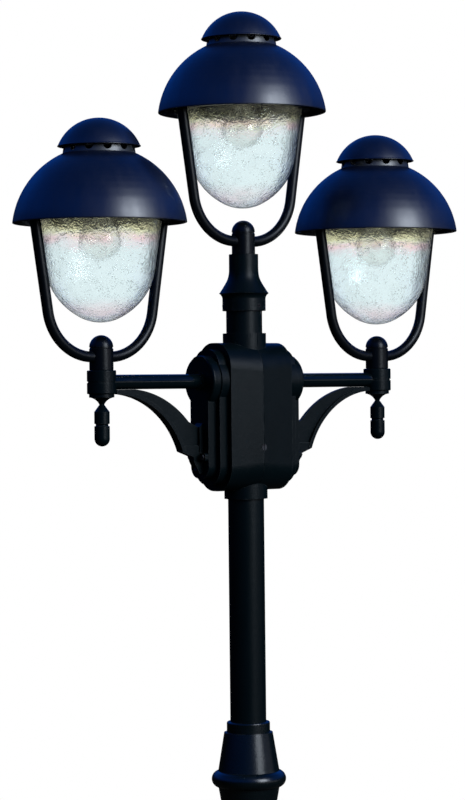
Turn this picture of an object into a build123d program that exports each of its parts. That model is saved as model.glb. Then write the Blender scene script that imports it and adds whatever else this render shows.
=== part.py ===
"""Garden lamp post with three bell-glass heads: one on the post top and one on each of two side arms.

Millimetres, +Z up. The origin is the centre of the foot's underside. The two arms run along X and
the front of the post faces -Y. A head is drawn in its own frame, whose origin is the centre of the
shade's rim, and is then set on the post three times.
"""
from build123d import *
from math import acos, atan, cos, degrees, radians, sin, sqrt
import os

# Fits
slip_fit = 0.05           # radial, a tube in its socket or a rod in its hole
turn_fit = 0.08           # radial, a thread that turns in its seat
seat_gap = 0.1            # beside a curved face that is only touched

# Post tubes
lower_tube_r = 38.0
upper_tube_r = 30.0
tube_wall = 4.0
lower_tube_length = 879.0

# Foot
foot_r = 100.0
foot_thick = 12.0
foot_edge = 3.0
foot_bead_r = 70.0
foot_bead_thick = 22.0
foot_cone_wide_r = 60.0
foot_cone_narrow_r = 48.0
foot_cone_height = 60.0
foot_collar_height = 20.0
foot_floor = 14.0         # the lower tube stands at this height
anchor_circle_r = 80.0
anchor_hole_r = 7.0
anchor_count = 4
anchor_turn = 45.0
cable_hole_r = 20.0

# Coupler between the tubes: collar and cone above its bead, the same below for the wider tube
socket_wall = 6.0         # collar wall round every tube
coupler_web = 8.0         # both tubes stop against this wall
bead_r = 62.0
bead_thick = 27.0
cone_wide_r = 51.0
upper_cone_narrow_r = 40.5
upper_cone_height = 64.0
lower_cone_narrow_r = 45.6
lower_cone_height = 30.0
coupler_collar_height = 18.0
collar_round = 3.0

# Grub screws that lock the tubes
grub_r = 3.0
grub_length = 6.5
grub_key_r = 1.7
grub_key_depth = 2.5
front_grub_turn = -83.0
front_grub_count = 3
back_grub_turn = 20.0
back_grub_spread = 140.0
back_grub_count = 2

# Central housing: two half shells round the upper tube. Heights count from the arms' axis
tube_show = 371.0         # upper tube that shows between coupler and housing
housing_top = 63.0
housing_bottom = 182.0
housing_depth_seam = 52.0     # half depth where the shells meet
housing_depth_end = 47.0      # half depth at the shell's end
housing_reach = 63.0
shoulder_flat = 5.0           # half width of the flat between the round shoulders
housing_wall = 5.0
step_in = 11.0                # each step of the end stands this much inside the last
step_length = 15.5
inner_boss_r = 44.5
outer_boss_r = 42.0
boss_round = 3.5
top_collar_height = 16.0
bottom_collar_height = 14.0
seam_chamfer = 0.7

# Screws on the seam, front and back
seam_screw_drop = 110.0
seam_head_r = 5.0
seam_head_height = 3.0
seam_head_gap = 0.5
seam_shank_r = 3.0
seam_recess = 2.5
seam_slot_width = 1.4
seam_slot_depth = 1.2

# Terminal block in a window of the upper tube
terminal_width = 40.0
terminal_depth = 16.0
terminal_height = 50.0
terminal_proud = 6.0      # how far it stands out of the tube
terminal_drop = 65.0
terminal_hole_r = 3.0
terminal_hole_depth = 9.0
terminal_pitch = 12.0
wire_hole_r = 8.0

# Arms, and the hubs at their ends
arm_reach = 286.0         # post axis to hub axis
arm_r = 12.0
arm_wall = 2.5
arm_tuck = 3.0            # end of the arm inside the housing's hollow
root_ring_r = 15.0
root_ring_length = 3.0
hub_r = 23.5
hub_half_height = 19.0
hub_groove_r = 22.0
hub_groove_half = 1.2
hub_round = 1.6
arm_stop = 9.0            # hub axis to the arm's end
rod_r = 6.0
rod_bore_r = 4.0
rod_wire_r = 3.0

# Brackets under the arms
bracket_curve_r = 142.0   # inner curve of the flange
bracket_centre_x = 268.0
bracket_flange = 6.0
bracket_flange_half = 9.0
bracket_web_half = 3.0
bracket_sweep_end = 161.0     # angle at which the flange runs into the foot
bracket_heel = 1.0            # foot under the flange's end
bracket_arm_gap = 1.0         # from the flange's crown to the arm
bracket_web_start = 222.0     # outside this the web lies along the arm
bracket_web_mid_x = 160.0
bracket_web_mid_drop = 32.0
bracket_web_end_x = 118.0
bracket_web_end_drop = 66.0
bracket_plate = 6.0
bracket_plate_top = 69.0
bracket_foot_drop = 118.0
bracket_foot_reach = 17.0
bracket_foot_height = 13.0
bracket_toe_drop = 151.0
bracket_toe_half = 7.0
bracket_ear_half = 24.0
bracket_ear_round = 4.0
bracket_bolt_side = 17.6
bracket_toe_bolt_drop = 143.5
bolt_r = 2.5
bolt_head_r = 4.6
bolt_head_height = 3.2
bolt_length = 18.0

# Finial under each hub
finial_disc_r = 20.3
finial_disc_height = 5.4
finial_neck_r = 4.0
finial_neck_height = 11.6     # from the disc to the neck
finial_waist_r = 9.2
finial_waist_height = 4.6
finial_body_r = 12.4
finial_shoulder_height = 11.5
finial_upper_height = 19.0
finial_groove_r = 10.0
finial_groove = 4.0
finial_lower_height = 20.0
rod_in_finial = 8.0

# Top neck: bell-shaped casting that carries the top head
neck_show = 37.5          # upper tube that shows under the neck
neck_collar_height = 20.0
neck_edge_r = 41.5        # sharp ring
neck_edge_rise = 29.0
neck_flare_r = 36.5
neck_flare_rise = 36.0
neck_mid_r = 27.4
neck_mid_rise = 52.0
neck_top_r = 24.4
neck_straight_rise = 74.0
neck_height = 94.0
neck_socket = 28.0
neck_hollow_r = 16.0
neck_web = 12.0
neck_grub_rise = 8.0

# Heads: z = 0 is the plane of the shade's rim
shade_curve_r = 141.0
shade_curve_drop = 17.0   # centre of the curve below the rim plane
shade_wall = 2.5
shade_neck_r = 58.5
shade_hole_r = 46.0

vent_wall = 4.0
vent_top_r = 55.5
vent_height = 21.0
vent_plate = 2.5
vent_foot = 2.0
vent_hole_r = 7.2
vent_hole_rise = 9.7
vent_count = 12
vent_turn = -80.0
roof_screw_circle_r = 49.5
roof_screw_count = 3
roof_screw_turn = 15.0    # from a vent to the nearest lug
roof_lug_r = 4.5
roof_lug_height = 8.0
roof_screw_r = 2.0
roof_screw_head_r = 3.5
roof_screw_head = 2.5
roof_screw_grip = 7.0     # thread inside the lug

cap_r = 66.0
cap_curve_r = 69.5
cap_lip = 1.6
cap_lip_flare = 1.0
cap_wall = 2.2
cap_boss_r = 9.0
cap_top_clear = 36.0      # vent ring's plate to the cap's top, outside
stud_in_cap = 12.0
stud_end_gap = 1.0

pillar_r = 8.0
stud_r = 5.0
spigot_length = 9.0

yoke_rod_r = 8.75
leg_room = 15.45          # inside of the rim to the leg's axis, at the rim plane
yoke_corner_x = 89.0      # where the leg's axis would cross the bar's axis
yoke_bend_r = 84.0
yoke_drop = 214.0         # rim plane to the bar's axis
yoke_boss_r = 19.4
yoke_boss_height = 35.0
yoke_boss_below = 21.5    # boss under the bar's axis
yoke_boss_edge = 0.8

dome_nut_r = 19.4
dome_nut_neck_r = 18.2
dome_nut_neck = 2.0
rod_in_nut = 10.0

gallery_rise = 3.0        # rim plane to the gallery's underside, where the legs end
gallery_thick = 6.0
gallery_width = 12.0
gallery_leg_gap = 8.5     # gallery's edge to the leg's axis
gallery_upstand = 7.0
gallery_upstand_wall = 3.5
leg_ear_half = 11.0
leg_ear_end = 9.5         # bolt's axis to the ear's end
leg_bolt_inset = 0.5      # from the leg's axis at the rim plane
leg_bolt_r = 5.0
leg_bolt_bore_r = 3.0
leg_bolt_head_r = 7.0
leg_bolt_head = 3.5
leg_bolt_grip = 11.0      # length inside the leg
leg_bolt_end_gap = 1.0

seal_thick = 2.0
seal_gap = 0.3            # between the seal's edge and the upstand
glass_wall = 3.0
glass_lip_gap = 1.0       # between the lip's edge and the upstand
glass_lip_width = 10.0    # from the outside of the bell at the rim plane
glass_lip_thick = 3.5
glass_taper = 0.1545      # widening of the straight upper part
glass_base_curve = 70.0   # radius of the bottom, as far as this angle
glass_base_angle = 29.0
glass_belly_curve = 116.0
glass_belly_angle = 47.5
glass_drop = 159.0

bridge_thick = 2.5
bridge_half_width = 12.5
bridge_foot = 9.0
bridge_riser = 9.0
bridge_rise = 78.0        # rim plane to the top of the bridge
bridge_top_half = 30.0
bridge_screw_r = 2.0
bridge_screw_head_r = 3.5
bridge_screw_head = 2.5
bridge_screw_length = 8.0

holder_r = 21.0
holder_skirt_r = 19.0
holder_skirt = 18.0
holder_length = 44.0
holder_bore = 30.0
bulb_r = 33.5
bulb_centre_drop = 26.0
bulb_shoulder_angle = 50.0
bulb_neck_r = 12.6
bulb_wall = 1.0
bulb_cap_r = 13.3
bulb_cap_length = 24.0
bulb_in_cap = 10.0
bulb_end_gap = 0.3
bulb_tip_r = 5.0
bulb_tip = 3.0

# Levels above the ground that follow from the sizes above
foot_top_z = foot_thick + foot_bead_thick + foot_cone_height + foot_collar_height
bead_z = foot_floor + lower_tube_length + coupler_web / 2
upper_cone_z = bead_z + bead_thick / 2 + upper_cone_height
lower_cone_z = bead_z - bead_thick / 2 - lower_cone_height
coupler_top_z = upper_cone_z + coupler_collar_height
coupler_bottom_z = lower_cone_z - coupler_collar_height
upper_tube_z = bead_z + coupler_web / 2
arm_z = coupler_top_z + tube_show + bottom_collar_height + housing_bottom
neck_z = arm_z + housing_top + top_collar_height + neck_show
neck_top_z = neck_z + neck_height
hub_top_z = arm_z + hub_half_height
rim_over_seat = yoke_boss_below + yoke_drop

# Reaches along the arms
end_x = housing_reach + 2 * step_length       # flat face of the housing's end
socket_x = housing_reach + step_length - housing_wall
arm_end_x = arm_reach - arm_stop

# Levels inside a head
shade_top = sqrt(shade_curve_r**2 - shade_neck_r**2) - shade_curve_drop
vent_top = shade_top + vent_height
cap_centre = vent_top + cap_top_clear - cap_curve_r
cap_rim = cap_centre + sqrt(cap_curve_r**2 - cap_r**2)
gallery_top = gallery_rise + gallery_thick
seal_top = gallery_top + seal_thick
glass_top = seal_top + glass_lip_thick
holder_top = bridge_rise - bridge_thick
holder_bottom = holder_top - holder_length
bulb_cap_top = holder_bottom + holder_bore - bulb_end_gap - bulb_tip
boss_top = yoke_boss_height - rim_over_seat

# Reaches inside a head, from the inside of the shade's rim towards the glass
rim_inner_r = sqrt((shade_curve_r - shade_wall) ** 2 - shade_curve_drop**2)
yoke_top_x = rim_inner_r - leg_room
gallery_r = yoke_top_x - gallery_leg_gap
gallery_bore_r = gallery_r - gallery_width
glass_lip_r = gallery_r - gallery_upstand_wall - glass_lip_gap
glass_rim_r = glass_lip_r - glass_lip_width
leg_bore_r = leg_bolt_r + slip_fit
leg_bolt_x = yoke_top_x - leg_bolt_inset
leg_ear_reach = leg_bolt_x + leg_ear_end
bridge_riser_y = gallery_r + slip_fit + bridge_thick
bridge_ear_reach = bridge_riser_y + bridge_foot

# Where each head's rim centre stands: across the post, and above the ground
heads = {
    "left": (-arm_reach, hub_top_z + rim_over_seat),
    "top": (0.0, neck_top_z + rim_over_seat),
    "right": (arm_reach, hub_top_z + rim_over_seat),
}
head_locations = [Location((x, 0, rim_z)) for x, rim_z in heads.values()]

# Planes through the arms' axis: across the post, and along it from the left
arm_front = Plane((0, 0, arm_z), x_dir=(1, 0, 0), z_dir=(0, -1, 0))
arm_side = Plane((0, 0, arm_z), x_dir=(0, 1, 0), z_dir=(1, 0, 0))

# Rows of grub screws: height, tube, number, first angle, spread
grub_rows = (
    (foot_top_z - foot_collar_height / 2, lower_tube_r, back_grub_count, back_grub_turn, back_grub_spread),
    (coupler_bottom_z + coupler_collar_height / 2, lower_tube_r, back_grub_count, back_grub_turn,
     back_grub_spread),
    (coupler_top_z - coupler_collar_height / 2, upper_tube_r, back_grub_count, back_grub_turn,
     back_grub_spread),
    (neck_z + neck_grub_rise, upper_tube_r, front_grub_count, front_grub_turn, 360),
)
os.makedirs("parts", exist_ok=True)


def save(part, name):
    """Label a finished sub-part and write it to its own file."""
    part.label = name
    export_step(part, f"parts/{name}.step")


def save_on_heads(part, name):
    """Write one copy of a head's sub-part for each of the three heads."""
    for head, place in zip(heads, head_locations):
        save(part.moved(place), f"{name}_{head}")


def cut_grub_holes(row):
    """Cut one row of radial screw holes through the collar that is being built."""
    height, tube_r, count, turn, spread = row
    with Locations((0, 0, height)):
        with PolarLocations(tube_r + grub_length, count, start_angle=turn, angular_range=spread):
            Cylinder(grub_r + slip_fit, 2 * grub_length, rotation=(0, 90, 0), mode=Mode.SUBTRACT)


# ---------------------------------------------------------------- post
with BuildPart() as foot_flange:
    with BuildSketch():
        Circle(foot_r)
    extrude(amount=foot_thick)
    chamfer(foot_flange.faces().sort_by(Axis.Z)[-1].edges(), foot_edge)
    with BuildSketch(Plane.XZ):
        with BuildLine():
            bead_top = foot_thick + foot_bead_thick
            cone_top = bead_top + foot_cone_height
            collar_outer = lower_tube_r + socket_wall
            Line((0, foot_thick), (foot_cone_wide_r, foot_thick))
            ThreePointArc(
                (foot_cone_wide_r, foot_thick),
                (foot_bead_r, foot_thick + foot_bead_thick / 2),
                (foot_cone_wide_r, bead_top),
            )
            Polyline(
                (foot_cone_wide_r, bead_top),
                (foot_cone_narrow_r, cone_top),
                (collar_outer, cone_top),
                (collar_outer, foot_top_z),
                (0, foot_top_z),
                (0, foot_thick),
            )
        make_face()
    revolve(axis=Axis.Z)
    fillet(foot_flange.faces().sort_by(Axis.Z)[-1].edges(), collar_round)
    with Locations((0, 0, foot_top_z)):
        Hole(lower_tube_r + slip_fit, depth=foot_top_z - foot_floor)
    with BuildSketch():
        Circle(cable_hole_r)
        with PolarLocations(anchor_circle_r, anchor_count, start_angle=anchor_turn):
            Circle(anchor_hole_r)
    extrude(amount=foot_floor, mode=Mode.SUBTRACT)
    cut_grub_holes(grub_rows[0])
save(foot_flange.part, "foot_flange")

with BuildPart() as lower_tube:
    with BuildSketch(Plane.XY.offset(foot_floor)):
        Circle(lower_tube_r)
        Circle(lower_tube_r - tube_wall, mode=Mode.SUBTRACT)
    extrude(amount=lower_tube_length)
save(lower_tube.part, "lower_tube")

with BuildPart() as coupler:
    with BuildSketch(Plane.XZ):
        with BuildLine():
            upper_outer = upper_tube_r + socket_wall
            lower_outer = lower_tube_r + socket_wall
            Polyline(
                (0, coupler_bottom_z),
                (lower_outer, coupler_bottom_z),
                (lower_outer, lower_cone_z),
                (lower_cone_narrow_r, lower_cone_z),
                (cone_wide_r, bead_z - bead_thick / 2),
            )
            ThreePointArc(
                (cone_wide_r, bead_z - bead_thick / 2),
                (bead_r, bead_z),
                (cone_wide_r, bead_z + bead_thick / 2),
            )
            Polyline(
                (cone_wide_r, bead_z + bead_thick / 2),
                (upper_cone_narrow_r, upper_cone_z),
                (upper_outer, upper_cone_z),
                (upper_outer, coupler_top_z),
                (0, coupler_top_z),
                (0, coupler_bottom_z),
            )
        make_face()
    revolve(axis=Axis.Z)
    fillet(coupler.faces().sort_by(Axis.Z)[-1].edges(), collar_round)
    fillet(coupler.faces().sort_by(Axis.Z)[0].edges(), collar_round)
    with BuildSketch(Plane.XY.offset(upper_tube_z)):
        Circle(upper_tube_r + slip_fit)
    extrude(amount=coupler_top_z - upper_tube_z, mode=Mode.SUBTRACT)
    with BuildSketch(Plane.XY.offset(coupler_bottom_z)):
        Circle(lower_tube_r + slip_fit)
    extrude(amount=upper_tube_z - coupler_web - coupler_bottom_z, mode=Mode.SUBTRACT)
    with BuildSketch(Plane.XY.offset(upper_tube_z)):
        Circle(cable_hole_r)
    extrude(amount=-coupler_web, mode=Mode.SUBTRACT)
    cut_grub_holes(grub_rows[1])
    cut_grub_holes(grub_rows[2])
save(coupler.part, "coupler")

terminal_back = terminal_depth - terminal_proud - upper_tube_r     # y of the block's rear face
terminal_bottom = arm_z - terminal_drop - terminal_height / 2
with BuildPart() as upper_tube:
    with BuildSketch(Plane.XY.offset(upper_tube_z)):
        Circle(upper_tube_r)
        Circle(upper_tube_r - tube_wall, mode=Mode.SUBTRACT)
    extrude(amount=neck_z + neck_socket - upper_tube_z)
    # wires leave for both arms
    with BuildSketch(arm_side):
        Circle(wire_hole_r)
    extrude(amount=upper_tube_r, both=True, mode=Mode.SUBTRACT)
    # window for the terminal block, which stands on its lower edge
    with BuildSketch(Plane.XY.offset(terminal_bottom)):
        with Locations((0, -upper_tube_r)):
            Rectangle(terminal_width + 2 * slip_fit, 2 * (terminal_depth - tube_wall))
    extrude(amount=terminal_height + slip_fit, mode=Mode.SUBTRACT)
    with BuildSketch(arm_front):
        with Locations((0, -seam_screw_drop)):
            Circle(seam_shank_r + slip_fit)
    extrude(amount=upper_tube_r, both=True, mode=Mode.SUBTRACT)
save(upper_tube.part, "upper_tube")

with BuildPart() as grub_screw:
    with BuildSketch(Plane.YZ):
        Circle(grub_r)
    extrude(amount=grub_length)
    with BuildSketch(Plane.YZ.offset(grub_length)):
        RegularPolygon(grub_key_r, 6)
    extrude(amount=-grub_key_depth, mode=Mode.SUBTRACT)

with BuildPart() as grub_screws:
    for height, tube_r, count, turn, spread in grub_rows:
        with Locations((0, 0, height)):
            with PolarLocations(tube_r + seat_gap, count, start_angle=turn, angular_range=spread):
                add(grub_screw.part)
save(grub_screws.part, "grub_screws")

# ---------------------------------------------------------------- central housing


def shell_outline(inset, half_depth):
    """Draw the housing's section: straight sides, and shoulders that leave a narrow flat."""
    top = housing_top - inset
    bottom = housing_bottom - inset
    with Locations((0, (top - bottom) / 2)):
        RectangleRounded(2 * half_depth, top + bottom, half_depth - shoulder_flat)


collar_span = housing_bottom + bottom_collar_height + housing_top + top_collar_height
with BuildPart() as housing_right:
    # round bosses of the arm's end
    with BuildSketch(arm_side.offset(housing_reach + step_length)):
        Circle(outer_boss_r)
    extrude(amount=step_length)
    fillet(housing_right.edges().sort_by(Axis.X)[-1], boss_round)
    with BuildSketch(arm_side.offset(housing_reach)):
        Circle(inner_boss_r)
        shell_outline(step_in, housing_depth_end - step_in)
    extrude(amount=step_length)
    with BuildSketch(arm_side.offset(housing_reach + step_length)):
        shell_outline(2 * step_in, housing_depth_end - 2 * step_in)
    extrude(amount=step_length)
    # body
    with BuildSketch(arm_side):
        shell_outline(0, housing_depth_seam)
    with BuildSketch(arm_side.offset(housing_reach)):
        shell_outline(0, housing_depth_end)
    loft(ruled=True)
    # collars that clamp the tube
    with BuildSketch(Plane.XY.offset(arm_z + housing_top + top_collar_height)):
        Circle(upper_tube_r + socket_wall)
    extrude(amount=-collar_span)
    split(bisect_by=Plane.YZ)
    chamfer(housing_right.faces().sort_by(Axis.X)[0].edges(), seam_chamfer)
    # hollow
    with BuildSketch(arm_side):
        shell_outline(housing_wall, housing_depth_seam - housing_wall)
    with BuildSketch(arm_side.offset(housing_reach - housing_wall)):
        shell_outline(housing_wall, housing_depth_end - housing_wall)
    loft(ruled=True, mode=Mode.SUBTRACT)
    with BuildSketch(arm_side.offset(housing_reach - housing_wall)):
        Circle(inner_boss_r - housing_wall)
        shell_outline(step_in + housing_wall, housing_depth_end - step_in - housing_wall)
    extrude(amount=step_length, mode=Mode.SUBTRACT)
    # seats of the tube, the arm, the bracket's bolts and the seam screws
    with BuildSketch(Plane.XY.offset(arm_z + housing_top + top_collar_height)):
        Circle(upper_tube_r + slip_fit)
    extrude(amount=-collar_span, mode=Mode.SUBTRACT)
    with BuildSketch(arm_side.offset(end_x)):
        Circle(arm_r + slip_fit)
    extrude(amount=-step_length - housing_wall, mode=Mode.SUBTRACT)
    with BuildSketch(arm_side.offset(end_x)):
        with Locations(
            (-bracket_bolt_side, -bracket_foot_drop - bracket_foot_height / 2),
            (bracket_bolt_side, -bracket_foot_drop - bracket_foot_height / 2),
            (0, -bracket_toe_bolt_drop),
        ):
            Circle(bolt_r + slip_fit)
    extrude(amount=-(bolt_length - bracket_plate), mode=Mode.SUBTRACT)
    with BuildSketch(arm_front):
        with Locations((0, -seam_screw_drop)):
            Circle(seam_shank_r + slip_fit)
    extrude(amount=housing_depth_seam, both=True, mode=Mode.SUBTRACT)
    for face in (-1, 1):
        with BuildSketch(arm_front.offset(face * housing_depth_seam)):
            with Locations((0, -seam_screw_drop)):
                Circle(seam_head_r + seam_head_gap)
        extrude(amount=-face * seam_recess, mode=Mode.SUBTRACT)
save(housing_right.part, "housing_right")

with BuildPart() as housing_left:
    mirror(housing_right.part, about=Plane.YZ)
save(housing_left.part, "housing_left")

seam_seat = housing_depth_seam - seam_recess
with BuildPart() as seam_screw:
    with BuildSketch(arm_front.offset(upper_tube_r - tube_wall)):
        with Locations((0, -seam_screw_drop)):
            Circle(seam_shank_r)
    extrude(amount=seam_seat - upper_tube_r + tube_wall)
    with BuildSketch(arm_front.offset(seam_seat)):
        with Locations((0, -seam_screw_drop)):
            Circle(seam_head_r)
    extrude(amount=seam_head_height)
    with BuildSketch(arm_front.offset(seam_seat + seam_head_height)):
        with Locations((0, -seam_screw_drop)):
            Rectangle(seam_slot_width, 2 * seam_head_r)
    extrude(amount=-seam_slot_depth, mode=Mode.SUBTRACT)

with BuildPart() as housing_screws:
    add(seam_screw.part)
    mirror(seam_screw.part, about=Plane.XZ)
save(housing_screws.part, "housing_screws")

with BuildPart() as terminal_block:
    with BuildSketch(Plane.XY.offset(terminal_bottom)):
        with Locations((0, terminal_back - terminal_depth / 2)):
            RectangleRounded(terminal_width, terminal_depth, 1)
    extrude(amount=terminal_height)
    for side in (0, terminal_height):
        with BuildSketch(Plane.XY.offset(terminal_bottom + side)):
            with Locations((0, terminal_back - terminal_depth / 2)):
                with GridLocations(terminal_pitch, 1, 3, 1):
                    Circle(terminal_hole_r)
        depth = terminal_hole_depth if side == 0 else -terminal_hole_depth
        extrude(amount=depth, mode=Mode.SUBTRACT)
save(terminal_block.part, "terminal_block")

# ---------------------------------------------------------------- arms, hubs and finials
with BuildPart() as arm_right:
    with BuildSketch(arm_side.offset(socket_x - arm_tuck)):
        Circle(arm_r)
    extrude(amount=arm_end_x - socket_x + arm_tuck)
    with BuildSketch(arm_side.offset(end_x)):
        Circle(root_ring_r)
    extrude(amount=root_ring_length)
    with BuildSketch(arm_side.offset(socket_x - arm_tuck)):
        Circle(arm_r - arm_wall)
    extrude(amount=arm_end_x - socket_x + arm_tuck, mode=Mode.SUBTRACT)
save(arm_right.part, "arm_right")

with BuildPart() as arm_left:
    mirror(arm_right.part, about=Plane.YZ)
save(arm_left.part, "arm_left")

with BuildPart() as hub_right:
    with BuildSketch(Plane((arm_reach, 0, arm_z))):
        Circle(hub_r)
    extrude(amount=hub_half_height, both=True)
    fillet(hub_right.edges().group_by(Axis.Z)[0] + hub_right.edges().group_by(Axis.Z)[-1], hub_round)
    with BuildSketch(Plane((arm_reach, 0, arm_z))):
        Circle(hub_r + seat_gap)
        Circle(hub_groove_r, mode=Mode.SUBTRACT)
    extrude(amount=hub_groove_half, both=True, mode=Mode.SUBTRACT)
    with BuildSketch(arm_side.offset(arm_end_x)):
        Circle(arm_r + slip_fit)
    extrude(amount=-hub_r, mode=Mode.SUBTRACT)
    with BuildSketch(arm_side.offset(arm_reach)):
        Circle(arm_r - arm_wall)
    extrude(amount=-arm_stop, mode=Mode.SUBTRACT)
    with BuildSketch(Plane((arm_reach, 0, arm_z))):
        Circle(rod_r + slip_fit)
    extrude(amount=hub_half_height, both=True, mode=Mode.SUBTRACT)
save(hub_right.part, "hub_right")

with BuildPart() as hub_left:
    mirror(hub_right.part, about=Plane.YZ)
save(hub_left.part, "hub_left")

finial_plane = Plane((arm_reach, 0, arm_z - hub_half_height), x_dir=(1, 0, 0), z_dir=(0, -1, 0))
with BuildPart() as finial_right:
    with BuildSketch(finial_plane):
        with BuildLine():
            neck = -finial_disc_height - finial_neck_height
            shoulder = neck - finial_shoulder_height
            groove_top = shoulder - finial_upper_height
            groove_bottom = groove_top - finial_groove
            round_start = groove_bottom - finial_lower_height
            Polyline((0, 0), (finial_disc_r, 0), (finial_disc_r, -finial_disc_height))
            ThreePointArc(
                (finial_disc_r, -finial_disc_height),
                (finial_waist_r, -finial_disc_height - finial_waist_height),
                (finial_neck_r, neck),
            )
            Polyline(
                (finial_neck_r, neck), (finial_body_r, shoulder), (finial_body_r, groove_top)
            )
            ThreePointArc(
                (finial_body_r, groove_top),
                (finial_groove_r, (groove_top + groove_bottom) / 2),
                (finial_body_r, groove_bottom),
            )
            Line((finial_body_r, groove_bottom), (finial_body_r, round_start))
            ThreePointArc(
                (finial_body_r, round_start),
                (finial_body_r * cos(radians(45)), round_start - finial_body_r * sin(radians(45))),
                (0, round_start - finial_body_r),
            )
            Line((0, round_start - finial_body_r), (0, 0))
        make_face()
    revolve(axis=Axis((arm_reach, 0, 0), (0, 0, 1)))
    with BuildSketch(Plane((arm_reach, 0, arm_z - hub_half_height))):
        Circle(rod_r + slip_fit)
    extrude(amount=-rod_in_finial, mode=Mode.SUBTRACT)
save(finial_right.part, "finial_right")

with BuildPart() as finial_left:
    mirror(finial_right.part, about=Plane.YZ)
save(finial_left.part, "finial_left")

# ---------------------------------------------------------------- brackets
bracket_x = arm_reach - hub_r - 2 * seat_gap      # end of the bracket beside the hub
bracket_z = -arm_r - seat_gap                     # top of the web along the arm
flange_r = bracket_curve_r + bracket_flange
curve_z = -arm_r - bracket_arm_gap - flange_r
foot_bottom = -bracket_foot_drop - bracket_foot_height
with BuildPart() as bracket_right:
    with BuildSketch(arm_front):
        with BuildLine():
            outer_start = degrees(acos((bracket_x - bracket_centre_x) / flange_r))
            inner_start = degrees(acos((bracket_x - bracket_centre_x) / bracket_curve_r))
            outer = CenterArc(
                (bracket_centre_x, curve_z), flange_r, outer_start, bracket_sweep_end - outer_start
            )
            inner = CenterArc(
                (bracket_centre_x, curve_z), bracket_curve_r, inner_start, bracket_sweep_end - inner_start
            )
            Line(outer @ 0, inner @ 0)
            Line(outer @ 1, inner @ 1)
        make_face()
    extrude(amount=bracket_flange_half, both=True)
    with BuildSketch(arm_front):
        with BuildLine():
            web_arc = CenterArc(
                (bracket_centre_x, curve_z), flange_r - bracket_flange / 2, outer_start,
                bracket_sweep_end - outer_start
            )
            web_edge = ThreePointArc(
                (bracket_web_start, bracket_z),
                (bracket_web_mid_x, -bracket_web_mid_drop),
                (bracket_web_end_x, -bracket_web_end_drop),
            )
            Polyline(web_arc @ 0, (bracket_x, bracket_z), (bracket_web_start, bracket_z))
            Polyline(
                (bracket_web_end_x, -bracket_web_end_drop),
                (end_x + bracket_plate, -bracket_plate_top - bracket_plate),
                (end_x, -bracket_plate_top - bracket_plate),
                (end_x, -bracket_foot_drop),
                web_arc @ 1,
            )
        make_face()
    extrude(amount=bracket_web_half, both=True)
    # plate, foot and toe against the housing; the flange ends inside the foot
    root = web_arc @ 0.95
    sweep_end = radians(bracket_sweep_end)
    heel_r = bracket_curve_r - bracket_heel
    heel = (bracket_centre_x + heel_r * cos(sweep_end), curve_z + heel_r * sin(sweep_end))
    with BuildSketch(arm_front):
        with BuildLine():
            Polyline(
                (end_x, -bracket_plate_top),
                (end_x + bracket_plate, -bracket_plate_top - bracket_plate),
                (end_x + bracket_plate, -bracket_foot_drop),
                (end_x, -bracket_foot_drop),
                close=True,
            )
        make_face()
    extrude(amount=bracket_flange_half, both=True)
    with BuildSketch(arm_front):
        with BuildLine():
            Polyline(
                (end_x, root.Y),
                (root.X, root.Y),
                heel,
                (end_x + bracket_foot_reach, -bracket_foot_drop - bracket_plate),
                (end_x + bracket_foot_reach, foot_bottom),
                (end_x + bracket_plate, -bracket_toe_drop),
                (end_x, -bracket_toe_drop),
                close=True,
            )
        make_face()
    extrude(amount=bracket_toe_half, both=True)
    with BuildSketch(arm_side.offset(end_x)):
        with Locations((0, -bracket_foot_drop - bracket_foot_height / 2)):
            RectangleRounded(2 * bracket_ear_half, bracket_foot_height, bracket_ear_round)
    extrude(amount=bracket_plate)
    # bolt holes, and a flat for the toe's bolt
    with BuildSketch(arm_side.offset(end_x)):
        with Locations(
            (-bracket_bolt_side, -bracket_foot_drop - bracket_foot_height / 2),
            (bracket_bolt_side, -bracket_foot_drop - bracket_foot_height / 2),
            (0, -bracket_toe_bolt_drop),
        ):
            Circle(bolt_r + slip_fit)
    extrude(amount=bracket_plate, mode=Mode.SUBTRACT)
    with BuildSketch(arm_side.offset(end_x + bracket_plate)):
        with Locations((0, -bracket_toe_bolt_drop)):
            Circle(bolt_head_r + seam_head_gap)
    extrude(amount=bracket_foot_reach, mode=Mode.SUBTRACT)
save(bracket_right.part, "bracket_right")

with BuildPart() as bracket_left:
    mirror(bracket_right.part, about=Plane.YZ)
save(bracket_left.part, "bracket_left")

with BuildPart() as right_bolts:
    for x, y in (
        (-bracket_bolt_side, -bracket_foot_drop - bracket_foot_height / 2),
        (bracket_bolt_side, -bracket_foot_drop - bracket_foot_height / 2),
        (0, -bracket_toe_bolt_drop),
    ):
        with BuildSketch(arm_side.offset(end_x + bracket_plate)):
            with Locations((x, y)):
                Circle(bolt_r)
        extrude(amount=-bolt_length + seat_gap)
        with BuildSketch(arm_side.offset(end_x + bracket_plate)):
            with Locations((x, y)):
                RegularPolygon(bolt_head_r, 6)
        extrude(amount=bolt_head_height)

with BuildPart() as bracket_bolts:
    add(right_bolts.part)
    mirror(right_bolts.part, about=Plane.YZ)
save(bracket_bolts.part, "bracket_bolts")

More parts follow.
